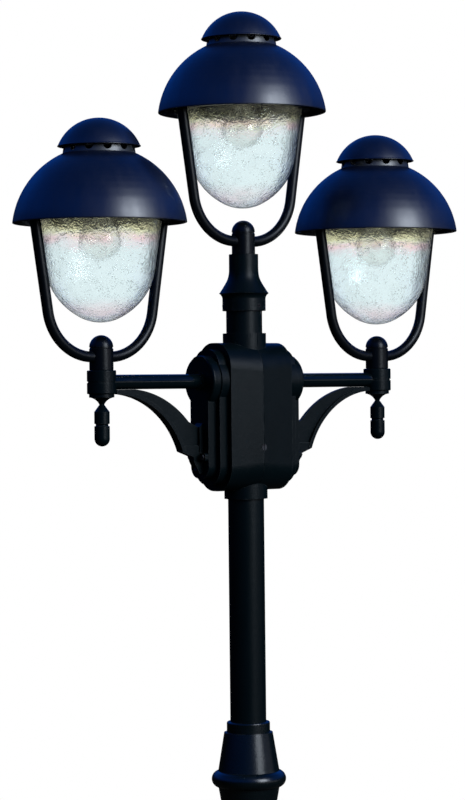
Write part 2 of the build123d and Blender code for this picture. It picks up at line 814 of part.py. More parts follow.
# ---------------------------------------------------------------- top neck
neck_front = Plane((0, 0, neck_z), x_dir=(1, 0, 0), z_dir=(0, -1, 0))
with BuildPart() as top_neck:
    with BuildSketch(neck_front):
        with BuildLine():
            collar_outer = upper_tube_r + socket_wall
            Polyline((0, 0), (collar_outer, 0), (collar_outer, neck_collar_height))
            ThreePointArc(
                (collar_outer, neck_collar_height),
                ((collar_outer + neck_edge_r) / 2 - 1, (neck_collar_height + neck_edge_rise) / 2 + 1),
                (neck_edge_r, neck_edge_rise),
            )
            Spline(
                (neck_edge_r, neck_edge_rise),
                (neck_flare_r, neck_flare_rise),
                (neck_mid_r, neck_mid_rise),
                (neck_top_r, neck_straight_rise),
                tangents=((-1, 1), (0, 1)),
            )
            Polyline(
                (neck_top_r, neck_straight_rise), (neck_top_r, neck_height), (0, neck_height), (0, 0)
            )
        make_face()
    revolve(axis=Axis.Z)
    with BuildSketch(Plane.XY.offset(neck_z)):
        Circle(upper_tube_r + slip_fit)
    extrude(amount=neck_socket, mode=Mode.SUBTRACT)
    with BuildSketch(Plane.XY.offset(neck_z)):
        Circle(neck_hollow_r)
    extrude(amount=neck_height - neck_web, mode=Mode.SUBTRACT)
    with BuildSketch(Plane.XY.offset(neck_z)):
        Circle(rod_r + slip_fit)
    extrude(amount=neck_height, mode=Mode.SUBTRACT)
    cut_grub_holes(grub_rows[3])
save(top_neck.part, "top_neck")

# Hollow rods that hold finial, hub, yoke and dome nut together, with side holes for the wires
with BuildPart() as tie_rods:
    rod_top = yoke_boss_height + rod_in_nut
    for x, seat_z, below in (
        (-arm_reach, hub_top_z, 2 * hub_half_height + rod_in_finial),
        (arm_reach, hub_top_z, 2 * hub_half_height + rod_in_finial),
        (0, neck_top_z, neck_web),
    ):
        with BuildSketch(Plane((x, 0, seat_z - below))):
            Circle(rod_r)
            Circle(rod_bore_r, mode=Mode.SUBTRACT)
        extrude(amount=below + rod_top)
        with BuildSketch(Plane((x, 0, seat_z + yoke_boss_below), x_dir=(0, 1, 0), z_dir=(1, 0, 0))):
            Circle(rod_wire_r)
        extrude(amount=rod_r, both=True, mode=Mode.SUBTRACT)
    for x in (-arm_reach, arm_reach):
        with BuildSketch(Plane((x, 0, arm_z), x_dir=(0, 1, 0), z_dir=(1, 0, 0))):
            Circle(rod_wire_r)
        extrude(amount=rod_r, both=True, mode=Mode.SUBTRACT)
save(tie_rods.part, "tie_rods")

# ---------------------------------------------------------------- a head, fixed part
with BuildPart() as yoke:
    with BuildSketch(Plane.XY.offset(-rim_over_seat)):
        Circle(yoke_boss_r)
    extrude(amount=yoke_boss_height)
    chamfer(yoke.edges().group_by(Axis.Z)[0] + yoke.edges().group_by(Axis.Z)[-1], yoke_boss_edge)
    leg_lean = (yoke_top_x - yoke_corner_x) / yoke_drop
    leg_spare = 2 * yoke_rod_r
    with BuildLine(Plane.XZ) as yoke_line:
        FilletPolyline(
            (-yoke_top_x - leg_lean * leg_spare, leg_spare),
            (-yoke_corner_x, -yoke_drop),
            (yoke_corner_x, -yoke_drop),
            (yoke_top_x + leg_lean * leg_spare, leg_spare),
            radius=yoke_bend_r,
        )
    leg_start = Plane(yoke_line.line @ 0, z_dir=yoke_line.line % 0)
    with BuildSketch(leg_start):
        Circle(yoke_rod_r)
    sweep(path=yoke_line.line)
    split(bisect_by=Plane.XY.offset(gallery_rise), keep=Keep.BOTTOM)
    # wire way through the legs and the bar
    with BuildSketch(leg_start):
        Circle(leg_bore_r)
    sweep(path=yoke_line.line, mode=Mode.SUBTRACT)
    with BuildSketch(Plane.XY.offset(gallery_rise)):
        with Locations((-leg_bolt_x, 0), (leg_bolt_x, 0)):
            Circle(leg_bore_r)
    extrude(amount=-leg_bolt_grip - leg_bolt_end_gap, mode=Mode.SUBTRACT)
    with BuildSketch(Plane.XY.offset(-rim_over_seat)):
        Circle(rod_r + slip_fit)
    extrude(amount=yoke_boss_height, mode=Mode.SUBTRACT)
save_on_heads(yoke.part, "yoke")

with BuildPart() as dome_nut:
    with BuildSketch(Plane.XZ):
        with BuildLine():
            dome_base = boss_top + dome_nut_neck
            Polyline(
                (0, boss_top), (dome_nut_neck_r, boss_top), (dome_nut_neck_r, dome_base),
                (dome_nut_r, dome_base)
            )
            ThreePointArc(
                (dome_nut_r, dome_base),
                (dome_nut_r * cos(radians(45)), dome_base + dome_nut_r * sin(radians(45))),
                (0, dome_base + dome_nut_r),
            )
            Line((0, dome_base + dome_nut_r), (0, boss_top))
        make_face()
    revolve(axis=Axis.Z)
    with BuildSketch(Plane.XY.offset(boss_top)):
        Circle(rod_r + slip_fit)
    extrude(amount=rod_in_nut + seat_gap, mode=Mode.SUBTRACT)

with BuildPart() as dome_nuts:
    with Locations(*head_locations):
        add(dome_nut.part)
save(dome_nuts.part, "dome_nuts")

with BuildPart() as gallery:
    with BuildSketch(Plane.XY.offset(gallery_rise)):
        Circle(gallery_r)
        SlotOverall(2 * leg_ear_reach, 2 * leg_ear_half)
        Rectangle(2 * bridge_half_width, 2 * bridge_ear_reach)
        Circle(gallery_bore_r, mode=Mode.SUBTRACT)
        with Locations((-leg_bolt_x, 0), (leg_bolt_x, 0)):
            Circle(leg_bore_r, mode=Mode.SUBTRACT)
        with Locations((0, -bridge_ear_reach + bridge_foot / 2), (0, bridge_ear_reach - bridge_foot / 2)):
            Circle(bridge_screw_r + slip_fit, mode=Mode.SUBTRACT)
    extrude(amount=gallery_thick)
    with BuildSketch(Plane.XY.offset(gallery_top)):
        Circle(gallery_r)
        Circle(gallery_r - gallery_upstand_wall, mode=Mode.SUBTRACT)
    extrude(amount=gallery_upstand)
save_on_heads(gallery.part, "gallery")

# Hollow bolts that join the legs to the gallery and let the wires through
with BuildPart() as leg_bolt:
    with BuildSketch(Plane.XY.offset(gallery_rise - leg_bolt_grip)):
        Circle(leg_bolt_r)
    extrude(amount=leg_bolt_grip + gallery_thick)
    with BuildSketch(Plane.XY.offset(gallery_top)):
        RegularPolygon(leg_bolt_head_r, 6)
    extrude(amount=leg_bolt_head)
    Hole(leg_bolt_bore_r)

with BuildPart() as leg_bolts:
    for x, rim_z in heads.values():
        with Locations((x - leg_bolt_x, 0, rim_z), (x + leg_bolt_x, 0, rim_z)):
            add(leg_bolt.part)
save(leg_bolts.part, "leg_bolts")

with BuildPart() as glass_seal:
    with BuildSketch(Plane.XY.offset(gallery_top)):
        Circle(gallery_r - gallery_upstand_wall - seal_gap)
        Circle(gallery_bore_r, mode=Mode.SUBTRACT)
    extrude(amount=seal_thick)
save_on_heads(glass_seal.part, "glass_seal")

# The bell is three arcs and a straight taper, each tangent to the next
taper_angle = 90 - degrees(atan(glass_taper))
base_turn, belly_turn, taper_turn = radians(glass_base_angle), radians(glass_belly_angle), radians(taper_angle)
belly_end_r = glass_base_curve * sin(base_turn) + glass_belly_curve * (sin(belly_turn) - sin(base_turn))
belly_end_z = (
    -glass_drop
    + glass_base_curve * (1 - cos(base_turn))
    + glass_belly_curve * (cos(base_turn) - cos(belly_turn))
)
glass_shoulder_curve = (glass_rim_r + glass_taper * belly_end_z - belly_end_r) / (
    sin(taper_turn) - sin(belly_turn) - glass_taper * (cos(belly_turn) - cos(taper_turn))
)


def bell_outline(inset):
    """Draw half of the bell's closed outline, moved inward, and return its radius at the mouth."""
    base = JernArc((0, inset - glass_drop), (1, 0), glass_base_curve - inset, glass_base_angle)
    belly = JernArc(base @ 1, base % 1, glass_belly_curve - inset, glass_belly_angle - glass_base_angle)
    upper = JernArc(belly @ 1, belly % 1, glass_shoulder_curve - inset, taper_angle - glass_belly_angle)
    mouth_r = (upper @ 1).X + glass_taper * (glass_top - (upper @ 1).Y)
    Polyline(upper @ 1, (mouth_r, glass_top), (0, glass_top), (0, inset - glass_drop))
    return mouth_r


with BuildPart() as glass_bell:
    with BuildSketch(Plane.XZ):
        with BuildLine():
            bell_outline(0)
        make_face()
        with BuildLine():
            mouth_r = bell_outline(glass_wall)
        make_face(mode=Mode.SUBTRACT)
        with BuildLine():
            Polyline(
                (mouth_r, glass_top), (mouth_r, seal_top), (glass_lip_r, seal_top),
                (glass_lip_r, glass_top), close=True
            )
        make_face()
    revolve(axis=Axis.Z)
save_on_heads(glass_bell.part, "glass_bell")

with BuildPart() as lamp_bridge:
    with BuildSketch(Plane.YZ) as bridge_section:
        with BuildLine():
            riser_top = gallery_top + bridge_riser
            foot_top = gallery_top + bridge_thick
            Polyline(
                (0, bridge_rise),
                (bridge_top_half, bridge_rise),
                (bridge_riser_y, riser_top),
                (bridge_riser_y, foot_top),
                (bridge_ear_reach, foot_top),
                (bridge_ear_reach, gallery_top),
                (bridge_riser_y - bridge_thick, gallery_top),
                (bridge_riser_y - bridge_thick, riser_top - bridge_thick / 2),
                (bridge_top_half - bridge_thick / 2, bridge_rise - bridge_thick),
                (0, bridge_rise - bridge_thick),
                close=True,
            )
        make_face()
        mirror(about=Plane.YZ)
    extrude(amount=bridge_half_width, both=True)
    with BuildSketch(Plane.XY.offset(bridge_rise)):
        Circle(stud_r + slip_fit)
        with Locations((0, -bridge_ear_reach + bridge_foot / 2), (0, bridge_ear_reach - bridge_foot / 2)):
            Circle(bridge_screw_r + slip_fit)
    extrude(amount=-bridge_rise, mode=Mode.SUBTRACT)
save_on_heads(lamp_bridge.part, "lamp_bridge")

with BuildPart() as bridge_screw:
    with BuildSketch(Plane.XY.offset(foot_top)):
        Circle(bridge_screw_r)
    extrude(amount=-bridge_screw_length)
    with BuildSketch(Plane.XY.offset(foot_top)):
        Circle(bridge_screw_head_r)
    extrude(amount=bridge_screw_head)

with BuildPart() as bridge_screws:
    screw_y = bridge_ear_reach - bridge_foot / 2
    for x, rim_z in heads.values():
        with Locations((x, -screw_y, rim_z), (x, screw_y, rim_z)):
            add(bridge_screw.part)
save(bridge_screws.part, "bridge_screws")

with BuildPart() as lampholder:
    with BuildSketch(Plane.XY.offset(holder_top)):
        Circle(holder_r)
    extrude(amount=-holder_length + holder_skirt)
    with BuildSketch(Plane.XY.offset(holder_bottom)):
        Circle(holder_skirt_r)
    extrude(amount=holder_skirt)
    with BuildSketch(Plane.XY.offset(holder_bottom)):
        Circle(bulb_cap_r + turn_fit)
    extrude(amount=holder_bore, mode=Mode.SUBTRACT)
    with BuildSketch(Plane.XY.offset(holder_top)):
        Circle(stud_r + slip_fit)
    extrude(amount=-spigot_length, mode=Mode.SUBTRACT)
save_on_heads(lampholder.part, "lampholder")

# Post inside each roof: its spigot holds the lampholder, its stud takes the cap
with BuildPart() as roof_post:
    with BuildSketch(Plane.XY.offset(holder_top - spigot_length)):
        Circle(stud_r)
    extrude(amount=vent_top + stud_in_cap - holder_top + spigot_length)
    with BuildSketch(Plane.XY.offset(bridge_rise)):
        Circle(pillar_r)
    extrude(amount=vent_top - vent_plate - bridge_rise)

with BuildPart() as roof_posts:
    with Locations(*head_locations):
        add(roof_post.part)
save(roof_posts.part, "roof_posts")

# ---------------------------------------------------------------- a head, roof
with BuildPart() as shade:
    inner_r = shade_curve_r - shade_wall
    flange_bottom = shade_top - shade_wall
    inner_neck_r = sqrt(inner_r**2 - (flange_bottom + shade_curve_drop) ** 2)
    with BuildSketch(Plane.XZ):
        with BuildLine():
            rim_outer = (sqrt(shade_curve_r**2 - shade_curve_drop**2), 0)
            rim_inner = (sqrt(inner_r**2 - shade_curve_drop**2), 0)
            slant = radians(40)
            ThreePointArc(
                rim_outer,
                (shade_curve_r * cos(slant), shade_curve_r * sin(slant) - shade_curve_drop),
                (shade_neck_r, shade_top),
            )
            Polyline(
                (shade_neck_r, shade_top), (shade_hole_r, shade_top),
                (shade_hole_r, flange_bottom), (inner_neck_r, flange_bottom)
            )
            ThreePointArc(
                (inner_neck_r, flange_bottom),
                (inner_r * cos(slant), inner_r * sin(slant) - shade_curve_drop),
                rim_inner,
            )
            Line(rim_inner, rim_outer)
        make_face()
    revolve(axis=Axis.Z)
    with BuildSketch(Plane.XY.offset(shade_top)):
        with PolarLocations(roof_screw_circle_r, roof_screw_count, start_angle=vent_turn + roof_screw_turn):
            Circle(roof_screw_r + slip_fit)
    extrude(amount=-shade_wall, mode=Mode.SUBTRACT)
save_on_heads(shade.part, "shade")

with BuildPart() as vent_ring:
    with BuildSketch(Plane.XZ):
        with BuildLine():
            plate_bottom = vent_top - vent_plate
            Polyline(
                (stud_r + slip_fit, vent_top),
                (vent_top_r, vent_top),
                (shade_neck_r, shade_top),
                (shade_hole_r, shade_top),
                (shade_hole_r, shade_top + vent_foot),
                (shade_neck_r - vent_wall, shade_top + vent_foot),
                (vent_top_r - vent_wall, plate_bottom),
                (stud_r + slip_fit, plate_bottom),
                close=True,
            )
        make_face()
    revolve(axis=Axis.Z)
    with Locations((0, 0, shade_top + vent_hole_rise)):
        with PolarLocations(shade_neck_r - vent_wall / 2, vent_count, start_angle=vent_turn):
            Cylinder(vent_hole_r, 3 * vent_wall, rotation=(0, 90, 0), mode=Mode.SUBTRACT)
    with BuildSketch(Plane.XY.offset(shade_top)):
        with PolarLocations(roof_screw_circle_r, roof_screw_count, start_angle=vent_turn + roof_screw_turn):
            Circle(roof_lug_r)
    extrude(amount=roof_lug_height)
    with BuildSketch(Plane.XY.offset(shade_top)):
        with PolarLocations(roof_screw_circle_r, roof_screw_count, start_angle=vent_turn + roof_screw_turn):
            Circle(roof_screw_r + slip_fit)
    extrude(amount=roof_lug_height, mode=Mode.SUBTRACT)
save_on_heads(vent_ring.part, "vent_ring")

with BuildPart() as roof_screws:
    with BuildSketch(Plane.XY.offset(flange_bottom)):
        with PolarLocations(roof_screw_circle_r, roof_screw_count, start_angle=vent_turn + roof_screw_turn):
            Circle(roof_screw_r)
    extrude(amount=shade_wall + roof_screw_grip)
    with BuildSketch(Plane.XY.offset(flange_bottom)):
        with PolarLocations(roof_screw_circle_r, roof_screw_count, start_angle=vent_turn + roof_screw_turn):
            Circle(roof_screw_head_r)
    extrude(amount=-roof_screw_head)
save_on_heads(roof_screws.part, "roof_screws")

with BuildPart() as cap:
    with BuildSketch(Plane.XZ):
        with BuildLine():
            inner_r = cap_curve_r - cap_wall
            inner_rim_r = cap_r - cap_wall
            inner_rim = cap_centre + sqrt(inner_r**2 - inner_rim_r**2)
            slant = radians(55)
            ThreePointArc(
                (0, cap_centre + cap_curve_r),
                (cap_curve_r * cos(slant), cap_centre + cap_curve_r * sin(slant)),
                (cap_r, cap_rim),
            )
            Polyline(
                (cap_r, cap_rim),
                (cap_r + cap_lip_flare, cap_rim - cap_lip),
                (inner_rim_r, cap_rim - cap_lip),
                (inner_rim_r, inner_rim),
            )
            ThreePointArc(
                (inner_rim_r, inner_rim),
                (inner_r * cos(slant), cap_centre + inner_r * sin(slant)),
                (0, cap_centre + inner_r),
            )
            Line((0, cap_centre + inner_r), (0, cap_centre + cap_curve_r))
        make_face()
    revolve(axis=Axis.Z)
    with BuildSketch(Plane.XY.offset(vent_top)):
        Circle(cap_boss_r)
    extrude(amount=cap_top_clear - cap_wall)
    with BuildSketch(Plane.XY.offset(vent_top)):
        Circle(stud_r + turn_fit)
    extrude(amount=stud_in_cap + stud_end_gap, mode=Mode.SUBTRACT)
save_on_heads(cap.part, "cap")

# ---------------------------------------------------------------- a head, bulb
with BuildPart() as bulb_glass:
    bulb_neck_end = bulb_cap_top - bulb_cap_length + bulb_in_cap
    with BuildSketch(Plane.XZ):
        with BuildLine():
            bend = radians(bulb_shoulder_angle)
            shoulder = (bulb_r * cos(bend), bulb_r * sin(bend) - bulb_centre_drop)
            neck_bend_r = (bulb_r * cos(bend) - bulb_neck_r) / (1 - cos(bend))
            neck_start = (bulb_neck_r, shoulder[1] + neck_bend_r * sin(bend))
            globe = ThreePointArc(
                (0, -bulb_centre_drop - bulb_r),
                (bulb_r, -bulb_centre_drop),
                shoulder,
            )
            TangentArc(shoulder, neck_start, tangent=(-sin(bend), cos(bend)))
            Polyline(
                neck_start, (bulb_neck_r, bulb_neck_end), (0, bulb_neck_end),
                (0, -bulb_centre_drop - bulb_r)
            )
        make_face()
        mirror(about=Plane.YZ)
        offset(amount=-bulb_wall, mode=Mode.SUBTRACT)
        split(bisect_by=Plane.YZ)
        with Locations((0, bulb_neck_end)):
            Rectangle(2 * (bulb_neck_r - bulb_wall), 2 * bulb_wall, mode=Mode.SUBTRACT)
    revolve(axis=Axis.Z)
save_on_heads(bulb_glass.part, "bulb_glass")

with BuildPart() as bulb_cap:
    with BuildSketch(Plane.XY.offset(bulb_cap_top)):
        Circle(bulb_cap_r)
    extrude(amount=-bulb_cap_length)
    with BuildSketch(Plane.XY.offset(bulb_cap_top)):
        Circle(bulb_tip_r)
    extrude(amount=bulb_tip)
    with BuildSketch(Plane.XY.offset(bulb_neck_end)):
        Circle(bulb_neck_r + slip_fit)
    extrude(amount=-bulb_in_cap, mode=Mode.SUBTRACT)
save_on_heads(bulb_cap.part, "bulb_cap")
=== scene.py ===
"""Garden lamp post with three bell-glass heads: finishes, spun sheet, glass, bulbs and a pale studio.

Metres, +Z up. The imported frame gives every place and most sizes. A head's own heights count from
the plane of its shade's rim, and its pieces are turned about the vertical line through the rim's
centre.
"""

from math import cos, pi, radians, sin, sqrt

import bpy
import numpy as np
from mathutils import Matrix, Vector


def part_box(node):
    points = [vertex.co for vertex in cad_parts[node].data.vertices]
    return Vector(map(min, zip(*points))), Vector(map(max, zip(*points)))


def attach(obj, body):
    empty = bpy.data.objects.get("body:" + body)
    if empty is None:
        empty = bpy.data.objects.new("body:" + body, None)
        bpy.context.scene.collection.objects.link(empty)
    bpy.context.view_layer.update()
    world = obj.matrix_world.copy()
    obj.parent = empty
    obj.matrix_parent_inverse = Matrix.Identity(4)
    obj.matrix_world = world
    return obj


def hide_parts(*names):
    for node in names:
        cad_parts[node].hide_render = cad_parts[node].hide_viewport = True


bl_info = {
    "name": "Triple Head Lamp Post",
    "version": (1, 0, 0),
    "blender": (4, 5, 0),
    "location": "3D View > Sidebar > Lamp Post",
    "description": "Dresses the frame of a garden lamp post with three bell-glass heads",
    "category": "Add Mesh",
}

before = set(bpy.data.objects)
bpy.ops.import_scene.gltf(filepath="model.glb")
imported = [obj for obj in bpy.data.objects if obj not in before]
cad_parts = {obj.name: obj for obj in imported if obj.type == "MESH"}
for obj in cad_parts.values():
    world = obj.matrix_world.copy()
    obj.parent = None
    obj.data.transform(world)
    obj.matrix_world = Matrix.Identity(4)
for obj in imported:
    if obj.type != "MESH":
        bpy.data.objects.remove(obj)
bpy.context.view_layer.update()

HEADS = ("left", "top", "right")
FULL_TURN = 2 * pi
SAME_PLACE = 1e-7  # points nearer than this are one point
SENSOR_HEIGHT = 36  # millimetres, for which the camera's focal length counts


def rim_centre(head):
    """Centre of a head's rim: the middle of the shade's box, at its lowest height."""
    low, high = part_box(f"shade_{head}")
    return np.array(((low.x + high.x) / 2, (low.y + high.y) / 2, low.z))


def measured(node):
    """Radius, bottom and top of a round node, with heights counted from its head's rim."""
    low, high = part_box(node)
    rim = rim_centre(node.rsplit("_", 1)[1])[2]
    return (high.x - low.x) / 2, low.z - rim, high.z - rim


def setting(make, **kind):
    """Maker of one kind of setting: what it returns takes a name, a description and a default."""
    return lambda name, description, default: make(
        name=name, description=description, default=default, **kind
    )


length = setting(bpy.props.FloatProperty, unit="LENGTH", precision=4)
spot = setting(bpy.props.FloatVectorProperty, unit="LENGTH", subtype="TRANSLATION", size=3)
angular = setting(bpy.props.FloatProperty, subtype="ANGLE")
power = setting(bpy.props.FloatProperty, unit="POWER")
factor = setting(bpy.props.FloatProperty)
colour = setting(bpy.props.FloatVectorProperty, subtype="COLOR", size=3, min=0, max=1)


# ---------------------------------------- what a user would change


class LampSheetSizes(bpy.types.PropertyGroup):
    """Sizes of the spun shades and caps."""

    shade_wall: length("Shade wall", "Thickness of the spun shade", 0.0025)
    cap_wall: length("Cap wall", "Thickness of the cap", 0.0022)
    cap_lip: length("Cap lip", "Height of the cap's turned edge", 0.0016)
    cap_lift: length("Cap lift", "How far the spun edge stands above the bottom of the cap's box", 0.0032)
    cap_flare: length("Cap flare", "How far the cap's edge stands out", 0.0010)
    cap_boss: length("Cap boss radius", "Boss inside the cap that takes the stud", 0.0090)
    cap_bore: length("Cap bore radius", "Threaded hole in the boss", 0.00508)
    cap_bore_depth: length("Cap bore depth", "Depth of the threaded hole", 0.0130)
    neck_hole: length("Shade hole radius", "Opening under the vent ring", 0.0460)
    spin_ripple: length("Spinning ripple", "Height of the faint rings left by spinning", 0.00004)
    spin_pitch: length("Ring pitch", "Distance between two spinning rings", 0.0062)


class LampGlassSizes(bpy.types.PropertyGroup):
    """Sizes of the glass bells."""

    wall: length("Wall", "Thickness of the bell", 0.0030)
    lip: length("Lip thickness", "Thickness of the flange that lies on the seal", 0.0035)
    base_curve: length("Base curve", "Radius of the rounded bottom", 0.0700)
    base_turn: angular("Base turn", "Where the bottom's curve ends", radians(29))
    belly_curve: length("Belly curve", "Radius of the curve above the bottom", 0.1160)
    belly_turn: angular("Belly turn", "Where the belly's curve ends", radians(47.5))
    rim_radius: length("Rim radius", "Outside of the bell at the shade's rim", 0.0990)
    taper: factor("Taper", "Widening of the straight part for each metre of height", 0.1545)
    ripple: length("Ripple", "Unevenness of the cast glass", 0.00012)
    ripple_width: length("Ripple width", "Distance between two waves of the glass", 0.0470)


class LampBulbSizes(bpy.types.PropertyGroup):
    """Sizes of the bulbs and their screw caps."""

    wall: length("Wall", "Thickness of the globe", 0.0010)
    shoulder_turn: angular("Shoulder turn", "Where the globe runs into the neck", radians(50))
    neck: length("Neck radius", "Radius of the globe's neck", 0.0126)
    thread_pitch: length("Thread pitch", "Rise of the screw cap's thread in one turn", 0.00363)
    thread_depth: length("Thread depth", "Depth of the screw cap's thread", 0.0011)
    tip: length("Tip height", "Height of the contact on the cap", 0.0030)
    tip_radius: length("Tip radius", "Radius of the contact", 0.0050)
    stem_height: length("Stem height", "Glass stem inside the globe", 0.0300)
    coil_reach: length("Filament reach", "Half width of the filament", 0.0105)


class LampColours(bpy.types.PropertyGroup):
    """Colours of the finishes."""

    post: colour("Post", "Tubes, castings and brackets", (0.0006, 0.0030, 0.0042))
    vent: colour("Vent rings", "Grey-black of the rings under the caps", (0.0110, 0.0130, 0.0140))
    head: colour("Yokes", "Yokes, nuts and hubs' upper pieces", (0.0009, 0.0018, 0.0030))
    shade: colour("Shades", "Blue-black of the shades and caps", (0.0004, 0.0034, 0.0160))
    inner: colour("Inner parts", "Black parts under the shades", (0.0060, 0.0066, 0.0075))
    # Lighter colour of rubbed edges, which also stands for a painted highlight along them; blackened screws
    # take it as soil too.
    wear_and_glint: colour("Worn edge", "Paint rubbed thin along an edge", (0.0550, 0.0620, 0.0680))
    dust: colour("Dust", "Dry dust that lies on upward faces", (0.0900, 0.0860, 0.0780))
    glass: colour("Glass", "Body colour of the bells", (0.9050, 0.9900, 1.0000))
    # Olive near the rim and the rose bands are painted reflections of the surroundings seen through the
    # glass.
    glass_warm: colour("Glass, olive", "Tint of the bells near the rim", (0.9400, 0.9400, 0.7400))
    glass_rose: colour("Glass, rose", "Tint of the bells in two bands", (0.9900, 0.8600, 0.8900))
    seed: colour("Seeds", "Edge of a small bubble in the glass", (0.0700, 0.1300, 0.1400))
    bulb: colour("Bulb", "Tint of the globes", (0.9900, 0.9850, 0.9650))
    brass: colour("Screw cap", "Metal of the bulbs' caps", (0.6500, 0.6200, 0.5400))
    steel: colour("Dark steel", "Blackened screws", (0.0300, 0.0300, 0.0330))
    zinc: colour("Zinc", "Plated bolts", (0.4300, 0.4400, 0.4600))
    rubber: colour("Rubber", "Seals under the glass", (0.0120, 0.0120, 0.0125))
    holder: colour("Lampholder", "Black moulded lampholders", (0.0080, 0.0080, 0.0088))
    terminal: colour("Terminal block", "Off-white moulded block", (0.6800, 0.6600, 0.6000))


class LampStudio(bpy.types.PropertyGroup):
    """Camera, light and surroundings."""

    distance: length("Camera distance", "From the post's axis to the camera", 4.29)
    turn: angular("Camera turn", "Angle of the view round the post", radians(-36.5))
    height: length("Camera height", "Height of the lens", 1.5545)
    aim_height: length("Aim height", "Height of the picture's centre on the post", 1.5278)
    aim_side: length("Aim to the side", "Picture's centre beside the post's axis", -0.0208)
    roll: angular("Roll", "Tilt of the camera about its line of sight", radians(0.6))
    lens: factor("Focal length", "Millimetres, with 36 mm on the picture's tall side", 115.9)
    key: power("Key light", "Soft light from the right", 450)
    key_place: spot("Key place", "Middle of the key light", (1.05, -5.50, 3.75))
    key_aim: spot("Key aim", "Place that the key light faces", (0.0, 0.0, 1.9))
    key_width: length("Key width", "Width of the key light", 2.8)
    key_rise: length("Key height", "Height of the key light's face", 3.4)
    key_tone: colour("Key tone", "Colour of the key light", (0.84, 0.92, 1.0))
    fill: factor("Fill", "Strength of the light from all round", 0.10)
    sky: factor("Sky", "Strength of the blue that gloss shows above the horizon", 1.0)
    sky_low: colour("Low sky", "What gloss shows above the horizon", (0.008, 0.140, 0.880))
    sky_high: colour("High sky", "What gloss shows near the zenith", (0.004, 0.046, 0.260))
    ground: colour("Ground", "What gloss shows below the horizon", (0.010, 0.014, 0.016))
    horizon: factor("Horizon", "Strength of the pale line that gloss shows at the horizon", 1.6)
    floor_radius: length("Floor radius", "Radius of the floor", 30.0)
    floor_near: length("Floor, near", "Up to here the floor takes the post's shadow", 0.9)
    floor_far: length("Floor, far", "From here on the floor is plain white", 2.6)
    floor_pale: colour("Floor", "Colour of the floor near the foot", (0.62, 0.62, 0.63))
    floor_glow: factor("Floor glow", "Light that the floor gives the camera near the foot", 0.62)


# ---------------------------------------- surfaces


def arc(centre_r, centre_z, radius, start, end, count):
    """Points of a circle's arc in the (radius, height) plane: the centre plus radius times
    (cos t, sin t), for count even steps of t from start to end."""
    t = np.linspace(start, end, count)
    return np.stack((centre_r + radius * np.cos(t), centre_z + radius * np.sin(t)), axis=1)


def run(start, end, count):
    """Points of a straight run: start plus t times (end - start), for count even steps of t from 0 to 1."""
    t = np.linspace(0, 1, count)[:, None]
    return np.array(start) * (1 - t) + np.array(end) * t


def chain(*stretches):
    """The stretches one after the other, without the points that two neighbours share."""
    points = np.concatenate(stretches)
    gap = np.linalg.norm(np.diff(points, axis=0), axis=1)
    return points[np.concatenate(([True], gap > SAME_PLACE))]


def corners(start, *onward):
    """Straight runs from corner to corner. After the first corner comes, for each run, its count of
    points and the corner where it ends."""
    stretches = []
    for count, end in onward:
        stretches.append(run(start, end, count))
        start = end
    return chain(*stretches)


def closed_mesh(name, places, faces):
    """Mesh of those points and faces, smooth, without the points that no face uses."""
    used, flat = np.unique(np.concatenate([f.ravel() for f in faces]), return_inverse=True)
    rows, start = [], 0
    for f in faces:
        rows += flat[start:start + f.size].reshape(f.shape).tolist()
        start += f.size
    mesh = bpy.data.meshes.new(name)
    mesh.from_pydata(places.reshape(-1, 3)[used].tolist(), [], rows)
    mesh.update()
    mesh.shade_smooth()
    return mesh, used


def turned(name, profile, centre, steps, wave=None):
    """Surface of revolution. Each point (r, z) of the profile sweeps the circle (r cos a, r sin a, z)
    about the vertical line through centre, for steps even angles a. The profile runs anticlockwise
    in the (r, z) plane, so that the faces point outwards. An end on the axis closes in one point,
    and a profile whose ends are off the axis closes on itself. wave(a, r, z) gives what is added
    to the radius. The attribute height_share runs from 0 at the bottom to 1 at the top."""
    round_steps = np.linspace(0, FULL_TURN, steps, endpoint=False)
    angle, radius = np.meshgrid(round_steps, profile[:, 0], indexing="ij")
    height = np.broadcast_to(profile[:, 1], angle.shape)
    swept = radius if wave is None else radius + wave(angle, radius, height)
    places = np.stack((swept * np.cos(angle), swept * np.sin(angle), height), axis=-1) + centre

    count = len(profile)
    starts_on_axis, ends_on_axis = profile[0, 0] < SAME_PLACE, profile[-1, 0] < SAME_PLACE
    index = np.arange(steps * count).reshape(steps, count)
    if starts_on_axis:
        index[:, 0] = index[0, 0]
    if ends_on_axis:
        index[:, -1] = index[0, -1]
    onward = np.roll(index, -1, axis=0)
    if not (starts_on_axis or ends_on_axis):
        index = np.concatenate((index, index[:, :1]), axis=1)
        onward = np.concatenate((onward, onward[:, :1]), axis=1)
    first, last = int(starts_on_axis), index.shape[1] - 1 - int(ends_on_axis)
    here, next_on = slice(first, last), slice(first + 1, last + 1)
    quads = np.stack(
        (index[:, here], onward[:, here], onward[:, next_on], index[:, next_on]), axis=-1
    ).reshape(-1, 4)
    faces = [quads]
    if starts_on_axis:
        faces.append(np.stack((index[:, 0], onward[:, 1], index[:, 1]), axis=-1))
    if ends_on_axis:
        faces.append(np.stack((index[:, -2], onward[:, -2], index[:, -1]), axis=-1))
    mesh, used = closed_mesh(name, places, faces)
    share = (height - height.min()) / (height.max() - height.min())
    mesh.attributes.new("height_share", "FLOAT", "POINT").data.foreach_set(
        "value", share.ravel()[used].astype(np.float32)
    )
    return mesh


